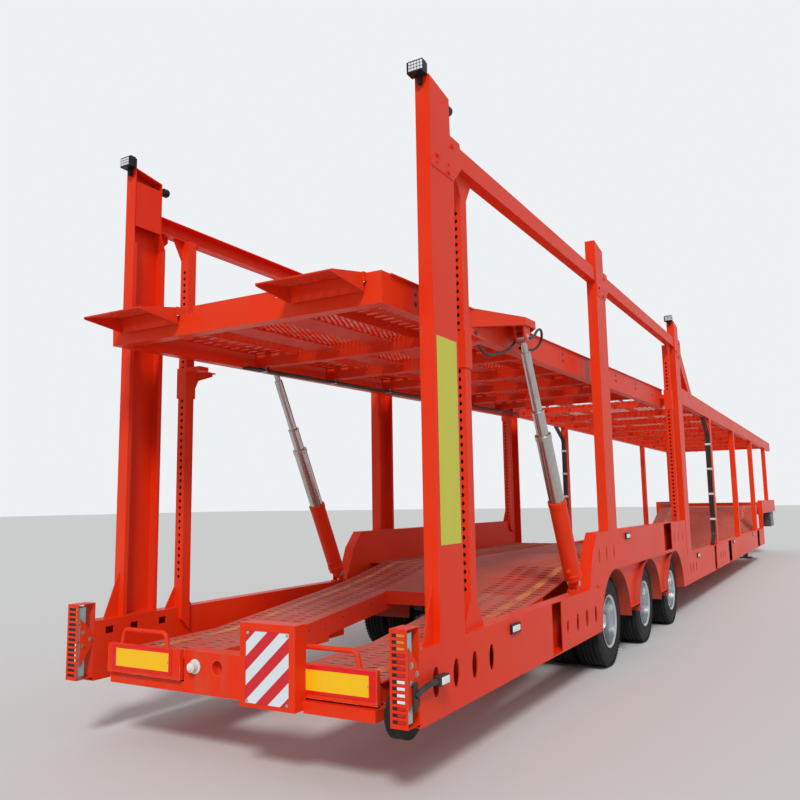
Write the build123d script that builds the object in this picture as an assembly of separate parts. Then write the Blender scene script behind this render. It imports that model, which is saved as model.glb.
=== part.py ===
from build123d import *
import math
import os

# A two-deck car transporter semi-trailer, standing on its tyres and landing legs.
# All sizes are in millimetres. Stations are measured forwards (+Y) from the rear face of
# the lamp housings, +X is the trailer's right and +Z is up from the ground. Before export
# everything moves so that the origin lies on the ground under the middle of the trailer.

# Overall size and common plate
HALF_WIDTH = 1250
PLATE = 8
RUNNING_GAP = 0.3

# Side beams: a rear box, a front box and the raised panel over the wheels between them
SILL_REAR = 130
SILL_FRONT = 17600
SILL_BOTTOM = 375
SILL_TOP = 750
SILL_WIDTH = 100
SILL_IN = HALF_WIDTH - SILL_WIDTH
PANEL_REAR = 3060
PANEL_FRONT = 7430
PANEL_TOP = 1200
PANEL_LEAN = 130
PANEL_CORNER = 150
SPANDREL_FOOT = 450
SPANDREL_TOP = 850
SPANDREL_INSET = 50
# Cut-outs in the outer web. Each row is a station, a height, a length and a depth.
REAR_OVALS = [(y, 565, 75, 150) for y in (300, 540, 780, 1020)]
REAR_OVALS += [(2460, 540, 50, 95)] + [(y, 538, 60, 135) for y in (2706, 2951, 3200)]
PANEL_OVALS = [(y, 1003, 34, 135) for y in (3375, 3615, 3860, 6680, 6930, 7200)]
FRONT_OVALS = [(y, 565, 60, 130) for y in (7640, 7860, 8080, 10390, 10630, 10870)]
WEB_NOTCH = (2110, 2325)
PANEL_NOTCH = (6085, 6520, 885)
FRONT_NOTCHES = [(9740, 9960), (11360, 11750), (16100, 16540)]
WINDOWS = [(y, 680, 66, 46) for y in (250, 455, 708, 930)]

# Running gear
AXLE_FIRST = 3815
AXLE_PITCH = 1372
AXLE_Z = 395
AXLES = [AXLE_FIRST + AXLE_PITCH * i for i in range(3)]
TYRE_R = AXLE_Z
TYRE_WIDTH = 228
TYRE_SHOULDER = 26
TYRE_OUT = HALF_WIDTH - 58
TWIN_PITCH = 268
RIM_R = 222
RIM_THICK = 12
HUB_R = 92
CAP_R = 70
DRUM_R = 165
BEARING_GAP = 1
SPINDLE_R = 40
AXLE_R = 64
ARCH_R = 505
ARCH_Z = 352
ARCH_SHIFT = 68
ARCH_IN = 640
LINER = 6
SPRING_HALF = 520
SPRING_HANGER = 80
CHAMBER_R = 78
CHAMBER_LENGTH = 190
CHAMBER_GAP = 25
CHAMBER_X = 330

# Floors. Each row is a station and the height of the floor's top there.
FLOOR = 10
TRACK_LINE = [(170, 570), (1100, 578), (2600, 735)]
AXLE_DECK_LINE = [(2600, 735), (3050, 800), (3500, 885), (7380, 885)]
WELL_LINE = [(7380, 885), (9500, 455), (15500, 455), (17520, 1260)]
TRACK_OUT = SILL_IN - 140
TRACK_IN = TRACK_OUT - 640
CHEEK_DEPTH = 95
CHEEK_STEP = 1650
CHEEK_HOLES = [1400, 1610, 1840, 2060, 2270, 2500]
CHEEK_HOLE_R = 9
SPINE_X = (430, 510)
SPINE_BOTTOM = 560
CROSS_FIRST = 9700
CROSS_PITCH = 1300
CROSS_COUNT = 5
CROSS_BAR = 90
HOOK_BAR = 110

# Tail
TAIL_REAR = 150
TAIL_BAR = 100
TAIL_Z = (455, 628)
TAIL_HOLE = (-110, 42)
TIE_Z = (380, 440)
LAMP_BOX_Z = (398, 867)
LAMP_BOX_DEPTH = 120
LAMP_BOX_PLATE = 4
LAMP_SLOTS = 14
LAMP_SLOT = (74, 18)
LAMP_BODY_DEPTH = 60
BOARD_X = (176, 557)
BOARD_Z = (392, 838)
BOARD_DEPTH = 100
BOARD_RIM = 42
BOARD_RECESS = 6
BOARD_ARM = (560, 1010)
ROLLER_R = 132
ROLLER_X = (SILL_IN - 96, SILL_IN - 16)
ROLLER_Y = 235
ROLLER_Z = 415
ROLLER_PIN_R = 18

# Stowed loading ramps
RAMP_X = (TRACK_IN + 30, TRACK_OUT - 25)
RAMP_LENGTH = 1750
RAMP_Z = (452, 540)
RAMP_END_Z = (452, 628)
RAMP_END = 30
RAMP_BAR = 50
RAMP_RUNG_PITCH = 170
HANDLE_R = 14
HANDLE_WIDTH = 400
HANDLE_LEAN = 20
HANDLE_BEND = 40
HANDLE_Z = 716

# Posts. Each row is a station, the foot's height and the head's height.
POST_WIDTH = 90
POST_DEPTH = 300
POST_LIP = 25
POSTS = [(360, 750, 3935), (3705, 1200, 3915), (7470, 750, 3880)]
HEAD_SEAM = 3386
HEAD_DEPTH = 255
HEAD_DROP = 40
HEAD_FLARE = 400
HEAD_FLARE_Z = (3490, 3666)
GUSSET = (120, 300)
FRONT_POSTS = [(10100, 750), (13000, 750), (16100, 750), (19300, 1410)]
FRONT_POST = (90, 130)
RAIL_Z = (3518, 3644)
RAIL_X = (HALF_WIDTH - 88, HALF_WIDTH - 8)
BRACE_HEAD = (3350, 3620)
BRACE_FOOT = (8350, 8620)

# Pin-hole columns beside the upper rear deck. Each row is a station and the foot's height.
COLUMN = 80
COLUMN_OUT = HALF_WIDTH - 50
COLUMN_IN = COLUMN_OUT - COLUMN
COLUMNS = [(860, 750), (7260, 1200)]
COLUMN_GUSSET = (90, 150)
PIN_HOLE_PITCH = 50
PIN_HOLE_R = 14
PIN_HOLE_Z = (950, 3270)
GUIDE_Z = (2290, 2520)
GUIDE_ARM = 230

# Upper front deck
UPPER_REAR = POSTS[2][0] + POST_DEPTH
UPPER_FRONT = 20900
UPPER_Z = (2770, 2990)
UPPER_WIDTH = 80
UPPER_TRACK = (HALF_WIDTH - 920, HALF_WIDTH - 190)
UPPER_CROSS_PITCH = 1300
UPPER_CROSS = 90

# Upper rear deck. It is drawn level about its front pins and then tilted.
DECK_PIVOT = (7300, 2815)
DECK_SLOPE = 1.6
DECK_CLEAR = 60
DECK_HALF = COLUMN_IN - DECK_CLEAR
DECK_BEAM = 80
DECK_IN = DECK_HALF - DECK_BEAM
DECK_REAR = -7180
DECK_FRONT = 100
DECK_TOP = 120
DECK_LIP = 14
DECK_DEPTH = (180, 245)
DECK_CROSS_FIRST = -5780
DECK_CROSS_PITCH = 1000
DECK_CROSS_COUNT = 6
DECK_CROSS = (80, 110)
DECK_BAR = (140, 340)
DECK_BAR_DEPTH = 50
DECK_TRACK_DROP = 70
DECK_PIN_R = 22
DECK_PIN_GAP = 0.5
END_BAR = 90
END_POCKET_DROP = 50
END_PLATE = (325, 5)
OUTRIGGER = (-6040, -5200)
OUTRIGGER_X = HALF_WIDTH - 35
OUTRIGGER_DEEP = (130, 55)
OUTRIGGER_RISE = 25
OUTRIGGER_TIP = 200

# Rear flaps
FLAP_X = (DECK_HALF - 615, DECK_HALF - 105)
FLAP_LENGTH = 300
FLAP_PLATE = 8
FLAP_CHEEK = 105
FLAP_DROOP = 9
FLAP_TUBE_R = 14
FLAP_PIN_R = 8
FLAP_PIN_GAP = 0.5
FLAP_OUT = 18
FLAP_DROP = 14
FLAP_SLOT = (60, 14)
FLAP_SLOTS = (5, 4)

# Lifting cylinders, from a pivot on the side beam to the deck's outrigger
CYL_X = HALF_WIDTH - 90
CYL_FOOT = (2930, 812)
CYL_EYE = (1955, 2675)
BARREL_START = 48
BARREL_FLOOR = 80
BARREL_END = 750
BARREL_R = 70
STAGE_R = (60, 46, 35)
STAGE_START = (590, 780, 1080)
STAGE_END = (1318, 1518)
STAGE_GAP = 0.5
EYE_R = 40
EYE_WIDTH = 56
ROD_NECK = (24, 115)
LUG = 12
CYL_PIN_R = 18

# Gooseneck, kingpin and landing legs
NECK_FRONT = 21100
NECK_Z = (1100, 1410)
NECK_FILLET = 180
NECK_CROSS_Z = (1070, 1250)
NECK_CROSS_DEPTH = 260
NECK_PLATE = 20
NECK_NOSE = 60
KINGPIN_Y = NECK_FRONT - 900
COUPLING = (960, 1150, 10)
# Each row is a radius and a length, downwards from the plate.
KINGPIN = [(36.5, 36), (25.4, 35), (35.8, 13)]
LEG_Y = 17960
LEG_X = SILL_IN - 390
LEG_OUTER = 130
LEG_INNER = 100
LEG_SPLIT = 480
LEG_FOOT = (280, 30)
LEG_BRACE_Z = 760
TOOL_BOX = ((SILL_IN - 150, HALF_WIDTH - 15), (NECK_FRONT - 1500, NECK_FRONT - 550), (720, NECK_Z[0]))

# Lamps, tanks and hoses
WORK_LAMP = (100, 65, 70)
SIDE_LAMPS = [(1390, 680), (4360, 1130), (8240, 700), (12000, 700), (15220, 700)]
SIDE_LAMP = (14, 150, 60)
TANK_R = 120
TANK_HALF = 420
TANK_Y = 8350
TANK_Z = 515
TANK_STRAPS = (-300, 300)
HOSE_R = 11
HOSE_PITCH = 26
HOSE_BEND = 120
HOSE_COUNT = 3
HOSE_CLAMP = 30
# The bundle behind the first slim post: stations and heights from the upper beam down
HOSE_LINE = [(9700, 2756), (10083, 2540), (10083, 900), (9900, 765)]
HOSE_CLAMPS = (1150, 1550, 1950, 2350)
DECK_HOSE_X = 60
DECK_HOSE_ENDS = (-6000, -200)


def block(x, y, z):
    """A straight bar or plate between two places on each axis."""
    centre = [(a + b) / 2 for a, b in (x, y, z)]
    size = [abs(b - a) for a, b in (x, y, z)]
    return Pos(*centre) * Box(*size)


def side_plate(points, x):
    """A plate of constant thickness along X, with (station, height) corners."""
    outline = Polyline(*[(0, y, z) for y, z in points], close=True)
    return Pos(min(x), 0, 0) * extrude(make_face(outline.edges()), amount=max(x) - min(x), dir=(1, 0, 0))


def flat_plate(points, z):
    """A level plate with (x, station) corners."""
    outline = Polyline(*points, close=True)
    return Pos(0, 0, min(z)) * extrude(make_face(outline.edges()), amount=max(z) - min(z), dir=(0, 0, 1))


def rod(x, y, z, radius):
    """A round bar along X."""
    return Pos((x[0] + x[1]) / 2, y, z) * Rot(0, 90, 0) * Cylinder(radius, abs(x[1] - x[0]))


def upright(y, z, radius, x=0):
    """A round bar along Z, from z[0] to z[1]."""
    return Pos(x, y, (z[0] + z[1]) / 2) * Cylinder(radius, z[1] - z[0])


def ring(points):
    """A round solid about X, from (place along X, radius) corners."""
    outline = Polyline(*[(x, 0, r) for x, r in points], close=True)
    return revolve(make_face(outline.edges()), Axis.X)


def bent_tube(points, radius, bend):
    """A round bar along a path with rounded corners."""
    line = FilletPolyline(*points, radius=bend)
    return sweep(Plane(line @ 0, z_dir=line % 0) * Circle(radius), path=line)


def both(shape):
    """A piece on the right and its mirror image on the left."""
    return [shape, flip(shape)]


def flip(shape):
    """The same piece on the left: mirrored across the trailer."""
    return mirror(shape, about=Plane.YZ)


def fuse(shapes):
    """One solid from pieces that share faces."""
    whole = shapes[0]
    for shape in shapes[1:]:
        whole += shape
    return whole


def ribbon(line, thickness):
    """The corners of a bent plate whose top follows a line."""
    return line + [(y, z - thickness) for y, z in reversed(line)]


def height_on(line, y):
    """The height of a bent line at a station."""
    for (y0, z0), (y1, z1) in zip(line, line[1:]):
        if y0 <= y <= y1:
            return z0 + (z1 - z0) * (y - y0) / (y1 - y0)


def centred(middle, size):
    """The two ends of a size that is centred on a place."""
    return (middle - size / 2, middle + size / 2)


def web_ovals(rows):
    """Upright oval cutters through the outer web."""
    start = HALF_WIDTH - 2 * PLATE
    tools = []
    for y, z, length, depth in rows:
        oval = Plane.YZ * Pos(y, z) * Ellipse(length / 2, depth / 2)
        tools.append(Pos(start, 0, 0) * extrude(oval, amount=3 * PLATE))
    return tools


def web_notch(y, z):
    """A cutter for a plain opening in the outer web."""
    return block((HALF_WIDTH - 2 * PLATE, HALF_WIDTH + PLATE), y, z)


def channel(points, x, wall):
    """A channel along an outline's edge, closed on the outer side and open inwards."""
    face = make_face(Polyline(*[(0, y, z) for y, z in points], close=True).edges())
    whole = Pos(x[0], 0, 0) * extrude(face, amount=x[1] - x[0], dir=(1, 0, 0))
    hollow = offset(face, amount=-wall, kind=Kind.INTERSECTION)
    return whole - Pos(x[0] - wall, 0, 0) * extrude(hollow, amount=x[1] - x[0], dir=(1, 0, 0))


def arch_bars(x, radius):
    """Round bars through the wheel arches."""
    return [rod(x, y + ARCH_SHIFT, ARCH_Z, radius) for y in AXLES]


def sill_box(y, cuts):
    """A hollow length of side beam, cut by the arches and its own openings."""
    z = (SILL_BOTTOM, SILL_TOP)
    beam = block((SILL_IN, HALF_WIDTH), y, z)
    inside = (SILL_IN + PLATE, HALF_WIDTH - PLATE)
    beam -= block(inside, (y[0] - PLATE, y[1] + PLATE), (z[0] + PLATE, z[1] - PLATE))
    beam -= arch_bars((SILL_IN - PLATE, HALF_WIDTH + PLATE), ARCH_R)
    return beam - cuts


def rear_sill():
    """The side beam behind the wheels, with ovals, a notch and inner windows."""
    cuts = web_ovals(REAR_OVALS)
    cuts.append(web_notch(WEB_NOTCH, (SILL_BOTTOM + PLATE, SILL_TOP - PLATE)))
    for y, z, length, depth in WINDOWS:
        cuts.append(block((SILL_IN - PLATE, SILL_IN + 2 * PLATE), centred(y, length), centred(z, depth)))
    return sill_box((SILL_REAR, AXLES[0]), cuts)


def front_sill():
    """The side beam ahead of the wheels, with ovals and the notches at the posts."""
    cuts = web_ovals(FRONT_OVALS)
    cuts += [web_notch(y, (SILL_BOTTOM + PLATE, SILL_TOP - PLATE)) for y in FRONT_NOTCHES]
    return sill_box((AXLES[-1] + ARCH_SHIFT, SILL_FRONT), cuts)


def arch_panel():
    """The hollow panel over the wheels with the inset spandrels between the arches."""
    lean = PANEL_REAR + PANEL_LEAN
    outline = [
        (PANEL_REAR, SILL_TOP), (PANEL_FRONT, SILL_TOP), (PANEL_FRONT, PANEL_TOP),
        (lean + PANEL_CORNER, PANEL_TOP), (lean, PANEL_TOP - PANEL_CORNER),
    ]
    x = (SILL_IN, HALF_WIDTH)
    face = make_face(Polyline(*[(0, y, z) for y, z in outline], close=True).edges())
    hollow = offset(face, amount=-PLATE, kind=Kind.INTERSECTION)
    panel = side_plate(outline, x)
    panel -= Pos(x[0] + PLATE, 0, 0) * extrude(hollow, amount=SILL_WIDTH - 2 * PLATE, dir=(1, 0, 0))
    inset = HALF_WIDTH - SPANDREL_INSET
    for y0, y1 in zip(AXLES, AXLES[1:]):
        y = (y0 + ARCH_SHIFT, y1 + ARCH_SHIFT)
        panel -= block((inset, HALF_WIDTH + PLATE), y, (SILL_TOP - PLATE, SPANDREL_TOP))
        panel += block((SILL_IN, SILL_IN + PLATE), y, (SPANDREL_FOOT, SILL_TOP + PLATE))
        panel += block((inset - PLATE, inset), y, (SPANDREL_FOOT, SPANDREL_TOP))
        panel += block((SILL_IN, HALF_WIDTH), y, (SPANDREL_FOOT, SPANDREL_FOOT + PLATE))
        panel += block((inset - PLATE, HALF_WIDTH), y, (SPANDREL_TOP, SPANDREL_TOP + PLATE))
    panel -= arch_bars((SILL_IN - PLATE, HALF_WIDTH + PLATE), ARCH_R)
    panel -= web_ovals(PANEL_OVALS)
    return panel - web_notch(PANEL_NOTCH[:2], (PANEL_NOTCH[2], PANEL_TOP - PLATE))


def arch_liner(y):
    """Half a round shell over one pair of tyres."""
    x = (ARCH_IN, HALF_WIDTH)
    outer = ARCH_R - RUNNING_GAP
    middle = y + ARCH_SHIFT
    shell = rod(x, middle, ARCH_Z, outer) - rod((x[0] - 1, x[1] + 1), middle, ARCH_Z, outer - LINER)
    shell -= block((x[0] - 1, x[1] + 1), centred(middle, 3 * ARCH_R), (ARCH_Z - 2 * ARCH_R, SILL_BOTTOM))
    return shell


def track():
    """A rising wheel track on two cheeks, with the rails that carry the ramp below."""
    plate = side_plate(ribbon(TRACK_LINE, FLOOR), (TRACK_IN, TRACK_OUT))
    under = [(y, z - FLOOR) for y, z in TRACK_LINE]
    (rear_y, rear_z), (bend_y, bend_z), (end_y, end_z) = under
    rail_z = RAMP_Z[0] - RUNNING_GAP
    rail_low = rail_z - FLOOR
    start = TAIL_REAR + TAIL_BAR
    cheek = [
        (start, height_on(under, start)), (bend_y, bend_z),
        (end_y, end_z), (end_y, end_z - 1.5 * CHEEK_DEPTH),
        (CHEEK_STEP, bend_z - CHEEK_DEPTH + 2 * PLATE), (CHEEK_STEP, rail_low), (start, rail_low),
    ]
    shape = plate
    for x in (TRACK_IN, TRACK_OUT - PLATE):
        web = side_plate(cheek, (x, x + PLATE))
        for y in CHEEK_HOLES:
            web -= rod((x - 1, x + PLATE + 1), y, height_on(under, y) - CHEEK_DEPTH / 2, CHEEK_HOLE_R)
        shape += web
    shape += block((TRACK_IN, RAMP_X[0] + RAMP_BAR / 2), (start, CHEEK_STEP), (rail_low, rail_z))
    return shape + block((RAMP_X[1] - RAMP_BAR / 2, TRACK_OUT), (start, CHEEK_STEP), (rail_low, rail_z))


def post(y, foot, head):
    """An upright channel, open inwards, with a flared head plate and a slanted cap."""
    x = (HALF_WIDTH - POST_WIDTH, HALF_WIDTH)
    outline = [
        (y, foot), (y + POST_DEPTH, foot), (y + POST_DEPTH, HEAD_SEAM), (y + HEAD_DEPTH, HEAD_FLARE_Z[0]),
        (y + HEAD_DEPTH, head - HEAD_DROP), (y, head),
    ]
    shape = channel(outline, x, PLATE)
    for edge in (y + PLATE, y + POST_DEPTH - PLATE - POST_LIP):
        shape += block((x[0], x[0] + PLATE), (edge, edge + POST_LIP), (foot + PLATE, HEAD_SEAM - PLATE))
    low, high = HEAD_FLARE_Z
    flare = [(y + HEAD_DEPTH - PLATE, high), (y + HEAD_FLARE, high), (y + HEAD_FLARE, low),
             (y + POST_DEPTH, HEAD_SEAM), (y + HEAD_DEPTH - PLATE, low)]
    return shape + side_plate(flare, (HALF_WIDTH - PLATE, HALF_WIDTH))


def gusset(y, z, size, x):
    """A triangular plate between an upright and what it stands on or hangs from."""
    points = [(y, z), (y + size[0], z), (y, z + size[1])]
    return side_plate(points, centred(x, PLATE))


def column(y, foot):
    """A channel with a row of pin holes through its rear wall, open forwards, with gussets."""
    z = (foot, RAIL_Z[0])
    middle = (COLUMN_IN + COLUMN_OUT) / 2
    bar = block((COLUMN_IN, COLUMN_OUT), (y, y + COLUMN), z)
    bar -= block((COLUMN_IN + PLATE, COLUMN_OUT - PLATE), (y + PLATE, y + COLUMN + PLATE),
                 (foot - PLATE, RAIL_Z[0] + PLATE))
    count = int((PIN_HOLE_Z[1] - PIN_HOLE_Z[0]) / PIN_HOLE_PITCH) + 1
    heights = [PIN_HOLE_Z[1] - PIN_HOLE_PITCH * i for i in range(count)]
    row = [Pos(middle, z) * RegularPolygon(PIN_HOLE_R, 6) for z in heights if z > foot + PIN_HOLE_PITCH]
    bar -= Pos(0, y + 2 * PLATE, 0) * extrude(Plane.XZ * Sketch(children=row), amount=3 * PLATE)
    reach, rise = COLUMN_GUSSET
    edge = COLUMN_OUT - PLATE / 2
    bar += gusset(y, RAIL_Z[0], (-reach, -rise), edge) + gusset(y + COLUMN, RAIL_Z[0], (reach, -rise), edge)
    bar += gusset(y, foot, (-reach, rise), edge) + gusset(y + COLUMN, foot, (reach, rise), edge)
    bracket = [(y, foot), (y + COLUMN, foot), (y + COLUMN, foot - 2 * COLUMN), (y, foot - COLUMN)]
    return bar + side_plate(bracket, (COLUMN_IN, SILL_IN))


def column_collar(y, z):
    """A square collar that fits round a column."""
    near = RUNNING_GAP
    far = RUNNING_GAP + PLATE
    outer = block((COLUMN_IN - far, COLUMN_OUT + far), (y - far, y + COLUMN + far), z)
    return outer - block((COLUMN_IN - near, COLUMN_OUT + near), (y - near, y + COLUMN + near),
                         (z[0] - PLATE, z[1] + PLATE))


def guide_collar():
    """The collar that follows the deck along the rear column, with its arm and shelf."""
    y = COLUMNS[0][0]
    low, high = GUIDE_Z
    front = y + COLUMN + RUNNING_GAP + PLATE
    shape = column_collar(y, GUIDE_Z)
    shelf_x = (DECK_IN, COLUMN_IN - RUNNING_GAP - PLATE)
    shape += block(shelf_x, (y - PLATE, front), (high - 4 * PLATE, high))
    arm = [(front, low), (front, high), (front + GUIDE_ARM, high), (front + GUIDE_ARM, high - 3 * PLATE),
           (front + GUIDE_ARM / 3, high - GUIDE_ARM / 3)]
    shape += side_plate(arm, centred(COLUMN_IN + COLUMN / 2, PLATE))
    return shape + block((COLUMN_IN, COLUMN_OUT), (front, front + GUIDE_ARM), (high - PLATE, high))


def front_collar():
    """The collar on the front column with the deck's pivot pin."""
    y = COLUMNS[1][0]
    shape = column_collar(y, (DECK_PIVOT[1] - 160, DECK_PIVOT[1] + 100))
    boss = (DECK_HALF + DECK_LIP + PLATE, COLUMN_IN - RUNNING_GAP)
    shape += rod(boss, DECK_PIVOT[0], DECK_PIVOT[1], 2 * DECK_PIN_R)
    return shape + rod((DECK_IN, boss[0] + 1), DECK_PIVOT[0], DECK_PIVOT[1], DECK_PIN_R)


def lamp_housing():
    """An open-fronted sheet box with a ladder of slots in its rear face."""
    x = (SILL_IN, HALF_WIDTH)
    low, high = LAMP_BOX_Z
    shell = block(x, (0, LAMP_BOX_DEPTH), LAMP_BOX_Z)
    shell -= block((x[0] - 1, x[1] + 1), (LAMP_BOX_PLATE, LAMP_BOX_DEPTH + 1),
                   (low + LAMP_BOX_PLATE, high - LAMP_BOX_PLATE))
    pitch = (high - low) / (LAMP_SLOTS + 1)
    for i in range(LAMP_SLOTS):
        shell -= block(centred((x[0] + x[1]) / 2, LAMP_SLOT[0]), (-1, LAMP_BOX_PLATE + 1),
                       centred(low + pitch * (i + 1), LAMP_SLOT[1]))
    return shell + block(x, (LAMP_BOX_DEPTH, SILL_REAR), LAMP_BOX_Z)


def lamp_body():
    """The strip of lamps inside a housing."""
    low, high = LAMP_BOX_Z
    return block((SILL_IN + 12, HALF_WIDTH - 12), (LAMP_BOX_PLATE, LAMP_BOX_PLATE + LAMP_BODY_DEPTH),
                 (low + 18, high - 18))


def tyre(outer):
    """A tyre about X with its outer face at a place along X."""
    inner = outer - TYRE_WIDTH
    bead = TYRE_SHOULDER / 2
    knee = RIM_R + 60
    return ring([
        (inner + bead, RIM_R), (inner, knee), (inner, TYRE_R - TYRE_SHOULDER),
        (inner + TYRE_SHOULDER, TYRE_R), (outer - TYRE_SHOULDER, TYRE_R),
        (outer, TYRE_R - TYRE_SHOULDER), (outer, knee), (outer - bead, RIM_R),
    ])


def wheel_steel():
    """The two rims of a twin wheel with their hub and drum, about X."""
    face = TYRE_OUT - TYRE_SHOULDER / 2
    inside = TYRE_OUT - TWIN_PITCH - TYRE_WIDTH + TYRE_SHOULDER / 2
    web = TYRE_OUT - TYRE_WIDTH
    bore = SPINDLE_R + BEARING_GAP
    rim = RIM_R - RUNNING_GAP
    well = rim - 2 * RIM_THICK
    return ring([
        (inside, rim), (face, rim), (face, rim - RIM_THICK), (web + 3 * RIM_THICK, well),
        (web + 2 * RIM_THICK, HUB_R), (face - 60, HUB_R), (face - 40, CAP_R), (face - 40, 0),
        (web, 0), (web, bore), (inside, bore), (inside, HUB_R), (web - HUB_R, HUB_R),
        (web - HUB_R, DRUM_R), (inside, DRUM_R),
    ])


def axle(y):
    """A tube between the wheels, with a spindle in each hub and two brake chambers ahead."""
    tube_end = TYRE_OUT - TWIN_PITCH - TYRE_WIDTH - TYRE_SHOULDER
    spindle_end = TYRE_OUT - TYRE_WIDTH - 2 * RIM_THICK
    shape = rod((-tube_end, tube_end), y, AXLE_Z, AXLE_R)
    shape += rod((-spindle_end, spindle_end), y, AXLE_Z, SPINDLE_R)
    middle = y + AXLE_R + CHAMBER_GAP + CHAMBER_LENGTH / 2
    for x in (-CHAMBER_X, CHAMBER_X):
        shape += Pos(x, middle, AXLE_Z) * Rot(90, 0, 0) * Cylinder(CHAMBER_R, CHAMBER_LENGTH)
        shape += block(centred(x, CHAMBER_R), (y, middle), centred(AXLE_Z, PLATE))
    return shape


def spring(y):
    """A leaf spring on its axle with the hangers that hold its ends."""
    seat_z = AXLE_Z + AXLE_R
    leaf_z = (seat_z + 15, seat_z + 45)
    shape = block(SPINE_X, centred(y, 120), (seat_z, leaf_z[0]))
    shape += block(SPINE_X, centred(y, 2 * SPRING_HALF), leaf_z)
    for middle in (y - SPRING_HALF, y + SPRING_HALF):
        shape += block(SPINE_X, centred(middle, SPRING_HANGER), (leaf_z[0], SPINE_BOTTOM))
    return shape


def air_tank():
    """A round air tank hung by two straps under the well floor's slope."""
    tank = rod((-TANK_HALF, TANK_HALF), TANK_Y, TANK_Z, TANK_R)
    strap_y = centred(TANK_Y, TANK_R)
    strap = [(strap_y[0], TANK_Z), (strap_y[1], TANK_Z)]
    strap += [(y, height_on(WELL_LINE, y) - FLOOR) for y in reversed(strap_y)]
    for x in TANK_STRAPS:
        tank += side_plate(strap, centred(x, PLATE))
    return tank


def ramp():
    """A ladder-framed loading ramp with an end plate and a bent handle."""
    rear = TAIL_REAR
    front = rear + RAMP_LENGTH
    shape = block((RAMP_X[0], RAMP_X[0] + RAMP_BAR), (rear, front), RAMP_Z)
    shape += block((RAMP_X[1] - RAMP_BAR, RAMP_X[1]), (rear, front), RAMP_Z)
    rungs = int((RAMP_LENGTH - RAMP_BAR) / RAMP_RUNG_PITCH) + 1
    for i in range(rungs):
        y = rear + RAMP_BAR / 2 + i * RAMP_RUNG_PITCH
        shape += block((RAMP_X[0] + RAMP_BAR, RAMP_X[1] - RAMP_BAR), centred(y, RAMP_BAR),
                       (RAMP_Z[0] + RAMP_BAR / 2, RAMP_Z[1] - PLATE))
    plate_x = (TRACK_IN + 6, TRACK_OUT - 6)
    shape += block(plate_x, (rear - RAMP_END, rear), RAMP_END_Z)
    middle = (RAMP_X[0] + RAMP_X[1]) / 2
    left, right = centred(middle, HANDLE_WIDTH)
    low = RAMP_END_Z[1] - HANDLE_R
    handle = bent_tube([(left, 0, low), (left + HANDLE_LEAN, 0, HANDLE_Z), (right - HANDLE_LEAN, 0, HANDLE_Z),
                        (right, 0, low)], HANDLE_R, HANDLE_BEND)
    return shape + Pos(0, rear - RAMP_END / 2, 0) * handle


def tail_beam():
    """The cross beam between the ramps, its tie and the rollers' pins."""
    y = (TAIL_REAR, TAIL_REAR + TAIL_BAR)
    beam = block((-TRACK_IN, TRACK_IN), y, (TIE_Z[1], TAIL_Z[1]))
    hole = Plane.XZ * Pos(TAIL_HOLE[0], sum(TAIL_Z) / 2) * Circle(TAIL_HOLE[1])
    beam -= Pos(0, TAIL_REAR + TAIL_BAR / 2, 0) * extrude(hole, amount=TAIL_BAR)
    beam += block((-TRACK_OUT, TRACK_OUT), y, TIE_Z)
    return beam + rod((TRACK_OUT, SILL_IN), ROLLER_Y, ROLLER_Z, ROLLER_PIN_R)


def marker_board():
    """A box with a recessed face on one side of the tail, and the arm below it."""
    y = (TAIL_REAR - RAMP_END - BOARD_DEPTH, TAIL_REAR - RAMP_END - 1)
    shape = block(BOARD_X, y, BOARD_Z)
    shape -= block((BOARD_X[0] + BOARD_RIM, BOARD_X[1] - BOARD_RIM), (y[0] - 1, y[0] + BOARD_RECESS),
                   (BOARD_Z[0] + BOARD_RIM / 2, BOARD_Z[1] - BOARD_RIM))
    shape += block((BOARD_X[0], TRACK_IN), (y[1], TAIL_REAR), TAIL_Z)
    return shape + block(BOARD_ARM, (TAIL_REAR - 60, TAIL_REAR), TIE_Z) + block(
        (BOARD_X[1] - BOARD_RIM, BOARD_ARM[0]), (TAIL_REAR - 60, TAIL_REAR - 10), (BOARD_Z[0], TIE_Z[1]))


def on_deck(shape):
    """Puts a piece that was drawn about the deck's pivot in its tilted place."""
    return Pos(0, *DECK_PIVOT) * Rot(DECK_SLOPE, 0, 0) * shape


def deck_depth(y):
    """The depth of the upper rear deck's side beam at a place along it."""
    share = (y - DECK_REAR) / (DECK_FRONT - DECK_REAR)
    return DECK_DEPTH[0] + (DECK_DEPTH[1] - DECK_DEPTH[0]) * share


def deck_side():
    """A tapering channel beam with its pivot plate, outrigger and cylinder lugs."""
    rear = DECK_REAR + END_BAR
    inner = DECK_IN
    low = [(rear, DECK_TOP - deck_depth(rear)), (DECK_FRONT, DECK_TOP - DECK_DEPTH[1])]
    top = [(rear, DECK_TOP), (DECK_FRONT, DECK_TOP)]
    beam = side_plate(low + top[::-1], (DECK_HALF - PLATE, DECK_HALF))
    beam += side_plate(ribbon(top, PLATE), (inner, DECK_HALF + DECK_LIP))
    beam += side_plate(ribbon([(y, z + PLATE) for y, z in low], PLATE), (inner, DECK_HALF))
    beam += side_plate([(-2 * DECK_BEAM, top[0][1] - PLATE), (DECK_FRONT, top[0][1] - PLATE),
                        (DECK_FRONT, low[1][1]), (-2 * DECK_BEAM, low[1][1] + PLATE)], (inner, inner + PLATE))
    beam -= rod((inner - 1, DECK_HALF + 1), 0, 0, DECK_PIN_R + DECK_PIN_GAP)
    return beam + outrigger()


def across(outline, y):
    """A prism along Y from an outline of (x, z) points."""
    outline = Polyline(*[(x, y[0], z) for x, z in outline], close=True)
    return extrude(make_face(outline.edges()), amount=y[1] - y[0], dir=(0, 1, 0))


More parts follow.
